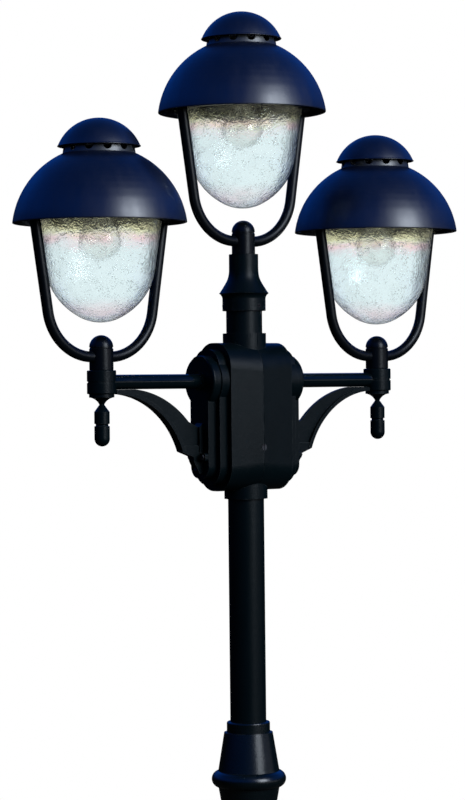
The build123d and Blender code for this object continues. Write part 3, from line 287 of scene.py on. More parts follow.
def tube(name, path, radius, steps):
    """Closed tube along a path. Round each point p of the path stand the points
    p + radius (n cos a + b sin a), where n and b are square to the path's direction, and n is the
    part of a fixed sideways vector that is square to it. Each end closes in one point."""
    direction = np.gradient(path, axis=0)
    direction /= np.linalg.norm(direction, axis=1, keepdims=True)
    sideways = np.array((0.31, 0.95, 0.05))
    n = sideways - direction * (direction @ sideways)[:, None]
    n /= np.linalg.norm(n, axis=1, keepdims=True)
    b = np.cross(direction, n)
    angle = np.linspace(0, FULL_TURN, steps, endpoint=False)[:, None, None]
    rings = path + radius * (n * np.cos(angle) + b * np.sin(angle))
    places = np.concatenate((rings.reshape(-1, 3), path[:1], path[-1:]))
    index = np.arange(steps * len(path)).reshape(steps, len(path))
    onward = np.roll(index, -1, axis=0)
    start, end = len(places) - 2, len(places) - 1
    quads = np.stack((index[:, :-1], onward[:, :-1], onward[:, 1:], index[:, 1:]), axis=-1).reshape(-1, 4)
    first = np.stack((onward[:, 0], index[:, 0], np.full(steps, start)), axis=-1)
    last = np.stack((index[:, -1], onward[:, -1], np.full(steps, end)), axis=-1)
    return closed_mesh(name, places, [quads, first, last])[0]


def place_piece(name, mesh, body, slot, *nodes):
    """Object for the mesh, with its slot's finish, riding on its body and standing for the nodes."""
    piece = bpy.data.objects.new(name, mesh)
    bpy.context.scene.collection.objects.link(piece)
    mesh.materials.append(bpy.data.materials[slot])
    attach(piece, body)
    if nodes:
        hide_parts(*nodes)


# ---------------------------------------- profiles


def shade_profile(head, sizes):
    """Section of the spun shade, anticlockwise from the outer edge of the rim. The dome's arc has its
    centre on the axis, below the rim by the depth at which it passes both the rim and the foot of
    the vent ring. The rim ends in a half round."""
    rim_r, _, top = measured(f"shade_{head}")
    neck_r = measured(f"vent_ring_{head}")[0]
    drop = (rim_r**2 - neck_r**2 - top**2) / (2 * top)
    outer_r = sqrt(rim_r**2 + drop**2)
    wall = sizes.shade_wall
    edge = wall / 2
    edge_turn = np.arcsin((drop + edge) / (outer_r - edge))
    outer = arc(0, -drop, outer_r, edge_turn, np.arccos(neck_r / outer_r), 72)
    inner_r = outer_r - wall
    inner_top = top - wall
    inner = arc(0, -drop, inner_r, np.arcsin((inner_top + drop) / inner_r), edge_turn, 64)
    middle = (outer_r - edge) * np.array((cos(edge_turn), sin(edge_turn))) - (0, drop)
    rim = arc(*middle, edge, edge_turn - pi, edge_turn, 9)
    flange = corners(
        (neck_r, top), (6, (sizes.neck_hole, top)), (3, (sizes.neck_hole, inner_top)), (6, inner[0])
    )
    return chain(outer, flange, inner, rim)[:-1]


def cap_profile(head, sizes):
    """Section of the cap, anticlockwise from the roof of its threaded hole to its apex. The dome's
    radius is (half width squared + rise squared) / (2 rise). The lip turns out in part of a circle."""
    lip_r, box_bottom, apex = measured(f"cap_{head}")
    bottom = box_bottom + sizes.cap_lift
    vent_top = measured(f"vent_ring_{head}")[2]
    edge_r = lip_r - sizes.cap_flare
    rise = apex - bottom - sizes.cap_lip
    outer_r = (edge_r**2 + rise**2) / (2 * rise)
    centre = apex - outer_r
    inner_r = outer_r - sizes.cap_wall
    mouth_r = edge_r - sizes.cap_wall
    boss_r, bore_r = sizes.cap_boss, sizes.cap_bore
    bore_top = vent_top + sizes.cap_bore_depth
    round_r, round_end = sizes.cap_lip / 2, 0.6 * pi / 2
    boss_end, mouth_end = (centre + sqrt(inner_r**2 - r**2) for r in (boss_r, mouth_r))
    return chain(
        corners(
            (0, bore_top), (3, (bore_r, bore_top)), (6, (bore_r, vent_top)), (3, (boss_r, vent_top)),
            (8, (boss_r, boss_end)),
        ),
        arc(0, centre, inner_r, np.arccos(boss_r / inner_r), np.arccos(mouth_r / inner_r), 40),
        corners((mouth_r, mouth_end), (4, (mouth_r, bottom)), (4, (lip_r - round_r, bottom))),
        arc(lip_r - round_r, bottom + round_r, round_r, -pi / 2, round_end, 7),
        arc(0, centre, outer_r, np.arccos(edge_r / outer_r), pi / 2, 64),
    )


def bell_side(sizes, bottom, mouth, inset):
    """One side of the glass bell, from its lowest point to its mouth, moved inwards by inset. Its
    direction turns along three arcs, each tangent to the next: base, belly and shoulder. A straight
    taper follows. The shoulder's radius is the one that meets the taper."""
    base_turn, belly_turn = sizes.base_turn, sizes.belly_turn
    taper_turn = pi / 2 - np.arctan(sizes.taper)
    belly_end_r = sizes.base_curve * sin(base_turn) + sizes.belly_curve * (sin(belly_turn) - sin(base_turn))
    belly_end_z = bottom + sizes.base_curve * (1 - cos(base_turn))
    belly_end_z += sizes.belly_curve * (cos(base_turn) - cos(belly_turn))
    shoulder_curve = (sizes.rim_radius + sizes.taper * belly_end_z - belly_end_r) / (
        sin(taper_turn) - sin(belly_turn) - sizes.taper * (cos(belly_turn) - cos(taper_turn))
    )
    points, end, start_turn = [], np.array((0.0, bottom + inset)), 0.0
    for curve, end_turn, count in (
        (sizes.base_curve, base_turn, 40),
        (sizes.belly_curve, belly_turn, 30),
        (shoulder_curve, taper_turn, 50),
    ):
        radius = curve - inset
        centre = end + radius * np.array((-sin(start_turn), cos(start_turn)))
        points.append(arc(*centre, radius, start_turn - pi / 2, end_turn - pi / 2, count))
        end, start_turn = points[-1][-1], end_turn
    mouth_r = end[0] + sizes.taper * (mouth - end[1])
    return chain(*points, run(end, (mouth_r, mouth), 60))


def bell_profile(head, sizes):
    """Section of the glass bell, anticlockwise from its lowest point outside to its lowest point inside."""
    lip_r, bottom, top = measured(f"glass_bell_{head}")
    seat = top - sizes.lip
    outer = bell_side(sizes, bottom, seat, 0)
    inner = bell_side(sizes, bottom, top, sizes.wall)
    round_r = sizes.lip / 2
    return chain(
        outer,
        run((outer[-1][0], seat), (lip_r - round_r, seat), 8),
        arc(lip_r - round_r, top - round_r, round_r, -pi / 2, pi / 2, 9),
        run((lip_r - round_r, top), inner[-1], 10),
        inner[::-1],
    )


def globe_profile(head, sizes):
    """Section of the bulb's globe, anticlockwise from its lowest point outside to the same inside: a
    circle, then an arc of the other hand that brings it tangent to the neck."""
    globe_r, bottom, neck_end = measured(f"bulb_glass_{head}")
    centre, turn = bottom + globe_r, sizes.shoulder_turn

    def side(inset):
        radius, neck = globe_r - inset, sizes.neck - inset
        bend_r = (globe_r * cos(turn) - sizes.neck) / (1 - cos(turn)) + inset
        shoulder = np.array((radius * cos(turn), centre + radius * sin(turn)))
        bend = arc(
            shoulder[0] + bend_r * cos(turn), shoulder[1] + bend_r * sin(turn), bend_r, pi + turn, pi, 14
        )
        return chain(arc(0, centre, radius, -pi / 2, turn, 60), bend, run(bend[-1], (neck, neck_end), 6))

    return chain(side(0), side(sizes.wall)[::-1])


def bulb_cap_profile(head, sizes):
    """Section of the bulb's screw cap, anticlockwise from the roof of its hollow to the contact. The
    threaded wall ends in a slope, and the contact's edge is broken twice."""
    slope_rise, slope_width = 0.0018, 0.0035
    break_width, break_depth, face_inset = 0.0006, 0.0008, 0.0018
    cap_r, bottom, top = measured(f"bulb_cap_{head}")
    neck_end = measured(f"bulb_glass_{head}")[2]
    shoulder, tip_r = top - sizes.tip, sizes.tip_radius
    return corners(
        (0, neck_end),
        (4, (sizes.neck, neck_end)),
        (4, (sizes.neck, bottom)),
        (3, (cap_r, bottom)),
        (90, (cap_r, shoulder - slope_rise)),
        (5, (cap_r - slope_width, shoulder)),
        (5, (tip_r, shoulder)),
        (4, (tip_r - break_width, top - break_depth)),
        (3, (tip_r - face_inset, top)),
        (4, (0, top)),
    )


# ---------------------------------------- shader groups

NODES_IN_ROW, NODE_WIDTH, NODE_HEIGHT = 8, 220, 240
# Sockets of a Mix node that mixes colours. Other sockets of the node have the same names.
MIX_SHARE, MIX_BASE, MIX_OVER, MIX_RESULT = 0, 6, 7, 2


def shader_node(tree, kind, settings=None, **inputs):
    """New node. settings are its own options, and inputs are as in give."""
    made = tree.nodes.new(kind)
    row, column = divmod(len(tree.nodes), NODES_IN_ROW)
    made.location = (NODE_WIDTH * column, -NODE_HEIGHT * row)
    for option, value in (settings or {}).items():
        setattr(made, option, value)
    give(tree, made, **inputs)
    return made


def give(tree, node, **inputs):
    """Link or set a node's inputs, each named by its socket, with _ for a space."""
    for name, value in inputs.items():
        feed(tree, node.inputs[name.replace("_", " ")], value)


def feed(tree, socket, value):
    """Link a socket to the input, or set the input to a plain value."""
    if isinstance(value, bpy.types.NodeSocket):
        tree.links.new(value, socket)
    elif isinstance(value, (tuple, list)) and len(value) == 3 and socket.type == "RGBA":
        socket.default_value = (*value, 1)
    else:
        socket.default_value = value


def sums(tree, operation, *values):
    """Math node on numbers."""
    made = shader_node(tree, "ShaderNodeMath", {"operation": operation})
    for socket, value in zip(made.inputs, values):
        feed(tree, socket, value)
    return made.outputs[0]


def remap(tree, value, low, high, to_low=0.0, to_high=1.0):
    """Value taken in a straight line from low and high to to_low and to_high, and held at the ends."""
    return shader_node(
        tree, "ShaderNodeMapRange", Value=value, From_Min=low, From_Max=high, To_Min=to_low, To_Max=to_high
    ).outputs[0]


def band(tree, value, start, full, fade, end, strength=1.0):
    """Band of a value: from 0 at start up to strength between full and fade, and back to 0 at end."""
    rising = remap(tree, value, start, full)
    return sums(tree, "MULTIPLY", rising, remap(tree, value, fade, end, strength, 0.0))


def tint(tree, share, base, over):
    """Colour that goes from base to over."""
    made = shader_node(tree, "ShaderNodeMix", {"data_type": "RGBA"})
    feed(tree, made.inputs[MIX_SHARE], share)
    feed(tree, made.inputs[MIX_BASE], base)
    feed(tree, made.inputs[MIX_OVER], over)
    return made.outputs[MIX_RESULT]


def noise(tree, place, scale, detail, roughness):
    """Noise on object coordinates, centred near one half."""
    return shader_node(
        tree, "ShaderNodeTexNoise", Vector=place, Scale=scale, Detail=detail, Roughness=roughness
    ).outputs[0]


def shader_group(name, inputs, outputs):
    """Empty group with those named sockets, and its two end nodes."""
    tree = bpy.data.node_groups.new(name, "ShaderNodeTree")
    kinds = {"colour": "NodeSocketColor", "number": "NodeSocketFloat"}
    for title, kind in inputs.items():
        tree.interface.new_socket(name=title, in_out="INPUT", socket_type=kinds[kind])
    for title, kind in outputs.items():
        tree.interface.new_socket(name=title, in_out="OUTPUT", socket_type=kinds[kind])
    return tree, tree.nodes.new("NodeGroupInput"), tree.nodes.new("NodeGroupOutput")


def build_edge_wear_and_glint():
    """Group that finds edges, for rubbed paint and a painted highlight along them: where a normal averaged
    over a small radius leaves the surface's own one, broken up by noise."""
    tree, given, result = shader_group(
        "edge_wear", {"Radius": "number", "Amount": "number"}, {"Mask": "number"}
    )
    surface = tree.nodes.new("ShaderNodeNewGeometry")
    rounded = shader_node(tree, "ShaderNodeBevel", {"samples": 4}, Radius=given.outputs["Radius"])
    likeness = shader_node(tree, "ShaderNodeVectorMath", {"operation": "DOT_PRODUCT"})
    tree.links.new(rounded.outputs[0], likeness.inputs[0])
    tree.links.new(surface.outputs["Normal"], likeness.inputs[1])
    turned_away = sums(tree, "SUBTRACT", 1.0, likeness.outputs["Value"])
    edge = remap(tree, turned_away, 0.02, 0.25)
    place = tree.nodes.new("ShaderNodeTexCoord").outputs["Object"]
    broken = remap(tree, noise(tree, place, scale=55.0, detail=5.0, roughness=0.65), 0.42, 0.66)
    mask = sums(tree, "MULTIPLY", edge, broken)
    give(tree, result, Mask=sums(tree, "MULTIPLY", mask, given.outputs["Amount"]))


def build_powder_coat():
    """Group for powder coat: slow mottling, rain streaks down the faces, dust on what faces up, a
    rough cast grain and fine orange peel."""
    tree, given, result = shader_group(
        "powder_coat",
        {"Colour": "colour", "Dust Colour": "colour", "Roughness": "number", "Dust": "number",
         "Cast": "number", "Peel": "number"},
        {"Colour": "colour", "Roughness": "number", "Height": "number"},
    )
    place = tree.nodes.new("ShaderNodeTexCoord").outputs["Object"]
    stretched = shader_node(tree, "ShaderNodeMapping", Vector=place, Scale=(1, 1, 0.12))
    patches = noise(tree, place, scale=9.0, detail=4.0, roughness=0.55)
    streaks = noise(tree, stretched.outputs[0], scale=48.0, detail=4.0, roughness=0.6)
    grain = noise(tree, place, scale=190.0, detail=4.0, roughness=0.62)
    peel = noise(tree, place, scale=760.0, detail=2.0, roughness=0.5)

    normal = tree.nodes.new("ShaderNodeNewGeometry").outputs["Normal"]
    upward = shader_node(tree, "ShaderNodeSeparateXYZ", Vector=normal).outputs["Z"]
    settled = sums(tree, "MULTIPLY", remap(tree, upward, 0.15, 0.95), remap(tree, patches, 0.35, 0.75))
    washed = sums(tree, "MULTIPLY", settled, remap(tree, streaks, 0.3, 0.7, 0.4, 1.0))
    dusty = sums(tree, "MULTIPLY", washed, given.outputs["Dust"])

    lighter = shader_node(tree, "ShaderNodeHueSaturation", Color=given.outputs["Colour"])
    give(tree, lighter, Value=remap(tree, patches, 0.25, 0.75, 0.82, 1.2))
    streaked = remap(tree, streaks, 0.45, 0.8, 0.0, 0.35)
    mottled = tint(tree, streaked, lighter.outputs[0], given.outputs["Colour"])
    coloured = tint(tree, dusty, mottled, given.outputs["Dust Colour"])

    uneven = remap(tree, streaks, 0.25, 0.75, -0.05, 0.06)
    rough = sums(tree, "ADD", given.outputs["Roughness"], uneven)
    rough = sums(tree, "ADD", rough, sums(tree, "MULTIPLY", dusty, 0.25))
    rough = sums(tree, "ADD", rough, remap(tree, peel, 0.3, 0.7, -0.02, 0.02))

    height = sums(tree, "MULTIPLY", grain, given.outputs["Cast"])
    height = sums(tree, "ADD", height, sums(tree, "MULTIPLY", peel, given.outputs["Peel"]))
    give(tree, result, Colour=coloured, Roughness=rough, Height=height)


def build_scuffs():
    """Group for plain metal and plastic: soft blotches and short fine scratches along one direction."""
    tree, given, result = shader_group(
        "scuffs",
        {"Colour": "colour", "Soil Colour": "colour", "Roughness": "number", "Soil": "number"},
        {"Colour": "colour", "Roughness": "number", "Height": "number"},
    )
    place = tree.nodes.new("ShaderNodeTexCoord").outputs["Object"]
    drawn = shader_node(tree, "ShaderNodeMapping", Vector=place, Scale=(1, 1, 8))
    blotch = noise(tree, place, scale=120.0, detail=4.0, roughness=0.6)
    scratch = noise(tree, drawn.outputs[0], scale=420.0, detail=3.0, roughness=0.6)
    soiled = sums(tree, "MULTIPLY", remap(tree, blotch, 0.4, 0.75), given.outputs["Soil"])
    coloured = tint(tree, soiled, given.outputs["Colour"], given.outputs["Soil Colour"])
    rough = sums(tree, "ADD", given.outputs["Roughness"], remap(tree, blotch, 0.3, 0.7, -0.06, 0.1))
    give(tree, result, Colour=coloured, Roughness=rough, Height=scratch)


def build_seeded():
    """Group for seeded glass: a mask of small round bubbles in two sizes, the height of the uneven
    skin round them, and a cloudiness that changes slowly."""
    tree, _, result = shader_group(
        "seeded", {}, {"Seeds": "number", "Height": "number", "Cloud": "number"}
    )
    place = tree.nodes.new("ShaderNodeTexCoord").outputs["Object"]
    small = shader_node(tree, "ShaderNodeTexVoronoi", Vector=place, Scale=330.0).outputs["Distance"]
    large = shader_node(tree, "ShaderNodeTexVoronoi", Vector=place, Scale=120.0).outputs["Distance"]
    skin = noise(tree, place, scale=360.0, detail=2.0, roughness=0.5)
    lumps = noise(tree, place, scale=130.0, detail=2.0, roughness=0.5)
    cloud = noise(tree, place, scale=24.0, detail=3.0, roughness=0.5)
    dots = remap(tree, small, 0.22, 0.34, 1.0, 0.0)
    beads = remap(tree, large, 0.07, 0.13, 1.0, 0.0)
    picked = remap(tree, noise(tree, place, scale=70.0, detail=2.0, roughness=0.5), 0.51, 0.57)
    seeds = sums(tree, "MAXIMUM", sums(tree, "MULTIPLY", dots, picked), beads)
    height = sums(tree, "ADD", skin, sums(tree, "MULTIPLY", lumps, 1.6))
    height = sums(tree, "ADD", height, sums(tree, "MULTIPLY", seeds, 0.5))
    give(tree, result, Seeds=seeds, Height=height, Cloud=cloud)


# ---------------------------------------- finishes


def new_finish(name):
    """Material with a Principled surface. A slot's name, which the import may hold, is freed first."""
    held = bpy.data.materials.get(name)
    if held is not None:
        held.name = f"{name}_plain"
    finish = bpy.data.materials.new(name)
    finish.use_nodes = True
    return finish, finish.node_tree, finish.node_tree.nodes["Principled BSDF"]


def bump(tree, surface, height, strength, distance):
    """Bump node between a height and the surface's normal."""
    made = shader_node(tree, "ShaderNodeBump", Strength=strength, Distance=distance, Height=height)
    give(tree, surface, Normal=made.outputs["Normal"])


def use_group(tree, group, **inputs):
    """Outputs of a shader group placed in a material."""
    held = {"node_tree": bpy.data.node_groups[group]}
    return shader_node(tree, "ShaderNodeGroup", held, **inputs).outputs


WEAR_AND_GLINT_RADIUS = 0.0012  # an edge's line of rubbed paint and painted highlight is about this wide

# Finish: name of its colour, roughness, specular level, dust, cast grain, orange peel, edge wear with
# painted edge highlight.
PAINTS = {
    "post_paint": ("post", 0.34, 0.10, 0.03, 0.65, 0.25, 0.90),
    "arm_paint": ("post", 0.14, 0.26, 0.02, 0.05, 0.06, 0.40),
    "coupler_paint": ("post", 0.26, 0.36, 0.03, 0.30, 0.20, 0.50),
    "vent_paint": ("vent", 0.42, 0.70, 0.30, 0.30, 0.20, 0.60),
    "head_paint": ("head", 0.32, 0.15, 0.03, 0.30, 0.20, 0.45),
    "shade_paint": ("shade", 0.38, 0.60, 0.02, 0.06, 0.16, 0.30),
    "inner_paint": ("inner", 0.55, 0.25, 0.15, 0.20, 0.20, 0.30),
}
# Finish: names of its colour and of its soil's, roughness, metallic, soil, depth of the scratches.
PLAIN = {
    "dark_screw": ("steel", "wear_and_glint", 0.38, 0.9, 0.5, 0.0002),
    "zinc_screw": ("zinc", "steel", 0.34, 1.0, 0.35, 0.0002),
    "bulb_metal": ("brass", "steel", 0.28, 1.0, 0.25, 0.0001),
    "seal_rubber": ("rubber", "dust", 0.8, 0.0, 0.25, 0.0003),
    "lampholder_plastic": ("holder", "dust", 0.3, 0.0, 0.12, 0.0001),
    "terminal_plastic": ("terminal", "dust", 0.5, 0.0, 0.2, 0.0002),
}
# Nodes whose finish isn't the one of their slot.
OWN_FINISHES = {
    "arm_left": "arm_paint", "arm_right": "arm_paint", "coupler": "coupler_paint",
    **{f"vent_ring_{head}": "vent_paint" for head in HEADS},
}


def painted(name, colours, base, roughness, specular, dust, cast, peel, wear):
    """Powder-coated metal with rubbed edges, which also carry a painted highlight."""
    finish, tree, surface = new_finish(name)
    coat = use_group(
        tree, "powder_coat", Colour=tuple(getattr(colours, base)), Dust_Colour=tuple(colours.dust),
        Roughness=roughness, Dust=dust, Cast=cast, Peel=peel
    )
    # Edges turn lighter: rubbed paint, and a painted highlight along the edge.
    edges = use_group(tree, "edge_wear", Radius=WEAR_AND_GLINT_RADIUS, Amount=wear)["Mask"]
    coloured = tint(tree, edges, coat["Colour"], tuple(colours.wear_and_glint))
    give(tree, surface, Base_Color=coloured, Roughness=coat["Roughness"], Specular_IOR_Level=specular)
    bump(tree, surface, coat["Height"], strength=0.5, distance=0.0006)
    return finish


def scuffed(name, colours, base, soil_base, roughness, metallic, soil, depth):
    """Bare metal, rubber or plastic with blotches and scratches."""
    finish, tree, surface = new_finish(name)
    clean, soiled = (tuple(getattr(colours, held)) for held in (base, soil_base))
    look = use_group(tree, "scuffs", Colour=clean, Soil_Colour=soiled, Roughness=roughness, Soil=soil)
    give(tree, surface, Base_Color=look["Colour"], Roughness=look["Roughness"], Metallic=metallic)
    bump(tree, surface, look["Height"], strength=0.4, distance=depth)
    return finish


def seeded_glass(name, colours):
    """Seeded glass: pale blue-green body, a painted olive reflection near the rim and painted rose
    reflections in two bands, dark-edged small bubbles that crowd toward the rim, where they also stand
    for painted shade, and an uneven skin. The bands' edges are shares of the height."""
    finish, tree, surface = new_finish(name)
    seeded = use_group(tree, "seeded")
    share = tree.nodes.new("ShaderNodeAttribute")
    share.attribute_name = "height_share"
    height = share.outputs["Fac"]
    wander = sums(tree, "ADD", height, remap(tree, seeded["Cloud"], 0.3, 0.7, -0.03, 0.03))
    # Olive near the rim is a painted reflection of the surroundings seen through the glass.
    olive_reflection_share = remap(tree, wander, 0.79, 0.85)
    # The rose bands are painted reflections of the surroundings seen through the glass.
    upper_band = band(tree, wander, 0.71, 0.76, 0.79, 0.84)
    lower_band = band(tree, wander, 0.02, 0.08, 0.12, 0.22, strength=0.6)
    patches = remap(tree, seeded["Cloud"], 0.36, 0.56, 0.35, 1.0)
    rose = sums(tree, "MULTIPLY", sums(tree, "MAXIMUM", upper_band, lower_band), patches)
    body = tint(tree, rose, tuple(colours.glass), tuple(colours.glass_rose))
    body = tint(tree, olive_reflection_share, body, tuple(colours.glass_warm))
    # Seeds grow denser toward the rim: real bubbles, and there also painted shade standing for the dark
    # inside of the shade seen through the glass.
    seeds_and_rim_shade = sums(tree, "MULTIPLY", seeded["Seeds"], remap(tree, wander, 0.60, 0.88, 0.60, 0.95))
    speckled = tint(tree, seeds_and_rim_shade, body, tuple(colours.seed))
    rough = remap(tree, seeded["Cloud"], 0.3, 0.7, 0.0, 0.02)
    give(tree, surface, Base_Color=speckled, Roughness=rough, IOR=1.45, Transmission_Weight=1.0)
    bump(tree, surface, seeded["Height"], strength=0.5, distance=0.0006)
    return finish


def bulb_globe_glass(name, colours):
    """Thin clear glass with a faint haze and a few soft waves."""
    finish, tree, surface = new_finish(name)
    place = tree.nodes.new("ShaderNodeTexCoord").outputs["Object"]
    haze = noise(tree, place, scale=60.0, detail=3.0, roughness=0.5)
    hazy = tuple(c * 0.97 for c in colours.bulb)
    body = tint(tree, remap(tree, haze, 0.35, 0.7), tuple(colours.bulb), hazy)
    rough = remap(tree, haze, 0.3, 0.7, 0.0, 0.03)
    give(tree, surface, Base_Color=body, Roughness=rough, IOR=1.46, Transmission_Weight=1.0)
    bump(tree, surface, haze, strength=0.1, distance=0.0005)
    return finish


# ---------------------------------------- operators


class LampFinishes(bpy.types.Operator):
    """Build every finish and give it to the frame's nodes, by their slots but for a few"""

    bl_idname = "lamp_post.finishes"
    bl_label = "Finishes"

    def execute(self, context):
        colours = context.scene.lamp_colours
        for build in (build_edge_wear_and_glint, build_powder_coat, build_scuffs, build_seeded):
            build()
        finishes = {name: painted(name, colours, *values) for name, values in PAINTS.items()}
        finishes.update({name: scuffed(name, colours, *values) for name, values in PLAIN.items()})
        finishes["bell_glass"] = seeded_glass("bell_glass", colours)
        finishes["bulb_glass"] = bulb_globe_glass("bulb_glass", colours)
        for name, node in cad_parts.items():
            for held in node.material_slots:
                slot = held.material.name.removesuffix("_plain")
                held.material = finishes[OWN_FINISHES.get(name, slot)]
        return {"FINISHED"}


class LampShades(bpy.types.Operator):
    """Turn the three spun shades"""

    bl_idname = "lamp_post.shades"
    bl_label = "Shades"

    def execute(self, context):
        sizes = context.scene.lamp_sheet

        def rings(angle, radius, height):
            """Spinning rings: the ripple's height times the sine of the radius over the pitch."""
            return sizes.spin_ripple * np.sin(FULL_TURN * radius / sizes.spin_pitch)

        for head in HEADS:
            mesh = turned(f"spun_shade_{head}", shade_profile(head, sizes), rim_centre(head), 192, rings)
            place_piece(f"spun_shade_{head}", mesh, f"roof_{head}", "shade_paint", f"shade_{head}")
        return {"FINISHED"}


class LampCaps(bpy.types.Operator):
    """Turn the three caps over the vents"""

    bl_idname = "lamp_post.caps"
    bl_label = "Caps"

    def execute(self, context):
        sizes = context.scene.lamp_sheet
        for head in HEADS:
            mesh = turned(f"spun_cap_{head}", cap_profile(head, sizes), rim_centre(head), 144)
            place_piece(f"spun_cap_{head}", mesh, f"cap_{head}", "shade_paint", f"cap_{head}")
        return {"FINISHED"}


class LampBells(bpy.types.Operator):
    """Blow the three seeded glass bells"""

    bl_idname = "lamp_post.bells"
    bl_label = "Glass bells"

    def execute(self, context):
        sizes = context.scene.lamp_glass
        wave_count = round(FULL_TURN * sizes.rim_radius / sizes.ripple_width)
        wave_number = FULL_TURN / sizes.ripple_width
        crossing = ((1.0, 0.6, 1), (0.6, -1.0, 2), (0.3, 1.5, 3))
        inner_step = 1.7
        axis_fade, lip_clear, lip_fade = 0.03, 0.012, 0.02
        top = measured("glass_bell_top")[2]

        def ripples(angle, radius, height):
            """Uneven glass: the mean of three sines of angle and height that cross at different slopes.
            Each has its share of the waves round the bell, its share of the waves up it, and its share
            of the step by which the inner skin lags. All fade to nothing at the axis and the lip."""
            skin = np.where(np.arange(radius.shape[1]) < radius.shape[1] / 2, 0.0, inner_step)
            waves = sum(
                np.sin(round(around * wave_count) * angle + up * wave_number * height + lag * skin)
                for around, up, lag in crossing
            ) / len(crossing)
            fade = np.clip(radius / axis_fade, 0, 1) * np.clip((top - lip_clear - height) / lip_fade, 0, 1)
            return sizes.ripple * waves * fade

        for head in HEADS:
            mesh = turned(f"seeded_bell_{head}", bell_profile(head, sizes), rim_centre(head), 224, ripples)
            place_piece(f"seeded_bell_{head}", mesh, "post", "bell_glass", f"glass_bell_{head}")
        return {"FINISHED"}


class LampBulbs(bpy.types.Operator):
    """Make the three bulbs: globe, screw cap, and the stem and filament inside"""

    bl_idname = "lamp_post.bulbs"
    bl_label = "Bulbs"

    def execute(self, context):
        sizes = context.scene.lamp_bulb
        cap_r, bottom, top = measured("bulb_cap_top")
        lead_in, lead_out, fade, wall_only = 0.001, 0.006, 0.002, 1e-5

        def thread(angle, radius, height):
            """Screw thread: the depth times half of (cosine - 1), where the phase is the height over the
            pitch less the angle. It is only on the cap's widest wall, and fades in and out."""
            phase = FULL_TURN * height / sizes.thread_pitch - angle
            inside = np.clip((height - bottom - lead_in) / fade, 0, 1)
            inside = inside * np.clip((top - lead_out - height) / fade, 0, 1)
            groove = sizes.thread_depth * (np.cos(phase) - 1) / 2 * inside
            return np.where(radius > cap_r - wall_only, groove, 0)

        for head in HEADS:
            centre, body = rim_centre(head), f"bulb_{head}"
            globe = turned(f"globe_{head}", globe_profile(head, sizes), centre, 128)
            place_piece(f"globe_{head}", globe, body, "bulb_glass", f"bulb_glass_{head}")
            cap = turned(f"screw_cap_{head}", bulb_cap_profile(head, sizes), centre, 96, thread)
            place_piece(f"screw_cap_{head}", cap, body, "bulb_metal", f"bulb_cap_{head}")
            self.filament(head, body, centre, sizes)
        return {"FINISHED"}

    def filament(self, head, body, centre, sizes):
        """Glass stem, two lead wires and a coiled filament hung between them. Each lead is a straight
        run bowed by half a sine. The filament's coil has its axis bowed and sagged the same way."""
        tip_r, stem_r, flare_r, foot_gap = 0.0022, 0.0026, 0.0085, 0.0004
        tip_rise, flare_rise, above_middle = 0.0012, 0.012, 0.002
        lead_r, lead_spread, lead_depth, lead_bow = 0.0004, 0.0014, 0.004, 0.002
        wire_r, coil_r, coil_turns, coil_bow, coil_sag = 0.00022, 0.0009, 26, 0.003, 0.0016

        globe_r, bottom, neck_end = measured(f"bulb_glass_{head}")
        stem_end = neck_end - sizes.stem_height
        stem = corners(
            (0, stem_end),
            (5, (tip_r, stem_end + tip_rise)),
            (8, (stem_r, neck_end - flare_rise)),
            (8, (flare_r, neck_end - foot_gap)),
            (4, (0, neck_end - foot_gap)),
        )
        place_piece(f"stem_{head}", turned(f"stem_{head}", stem, centre, 32), body, "bulb_glass")
        level = bottom + globe_r + above_middle
        t = np.linspace(0, 1, 40)[:, None]
        for side, name in ((-1, "left"), (1, "right")):
            start = np.array((side * lead_spread, 0, stem_end + lead_depth))
            end = np.array((side * sizes.coil_reach, 0, level))
            bow = np.array((side * lead_bow, 0, lead_bow)) * np.sin(pi * t)
            lead = centre + start * (1 - t) + end * t + bow
            mesh = tube(f"lead_{name}_{head}", lead, lead_r, 8)
            place_piece(f"lead_{name}_{head}", mesh, body, "bulb_metal")
        s = np.linspace(0, 1, 420)
        turn = FULL_TURN * coil_turns * s
        coil = np.stack(
            (
                sizes.coil_reach * (2 * s - 1),
                coil_r * np.cos(turn) + coil_bow * np.sin(pi * s),
                level + coil_r * np.sin(turn) - coil_sag * np.sin(pi * s),
            ),
            axis=1,
        )
        mesh = tube(f"filament_{head}", centre + coil, wire_r, 6)
        place_piece(f"filament_{head}", mesh, body, "bulb_metal")


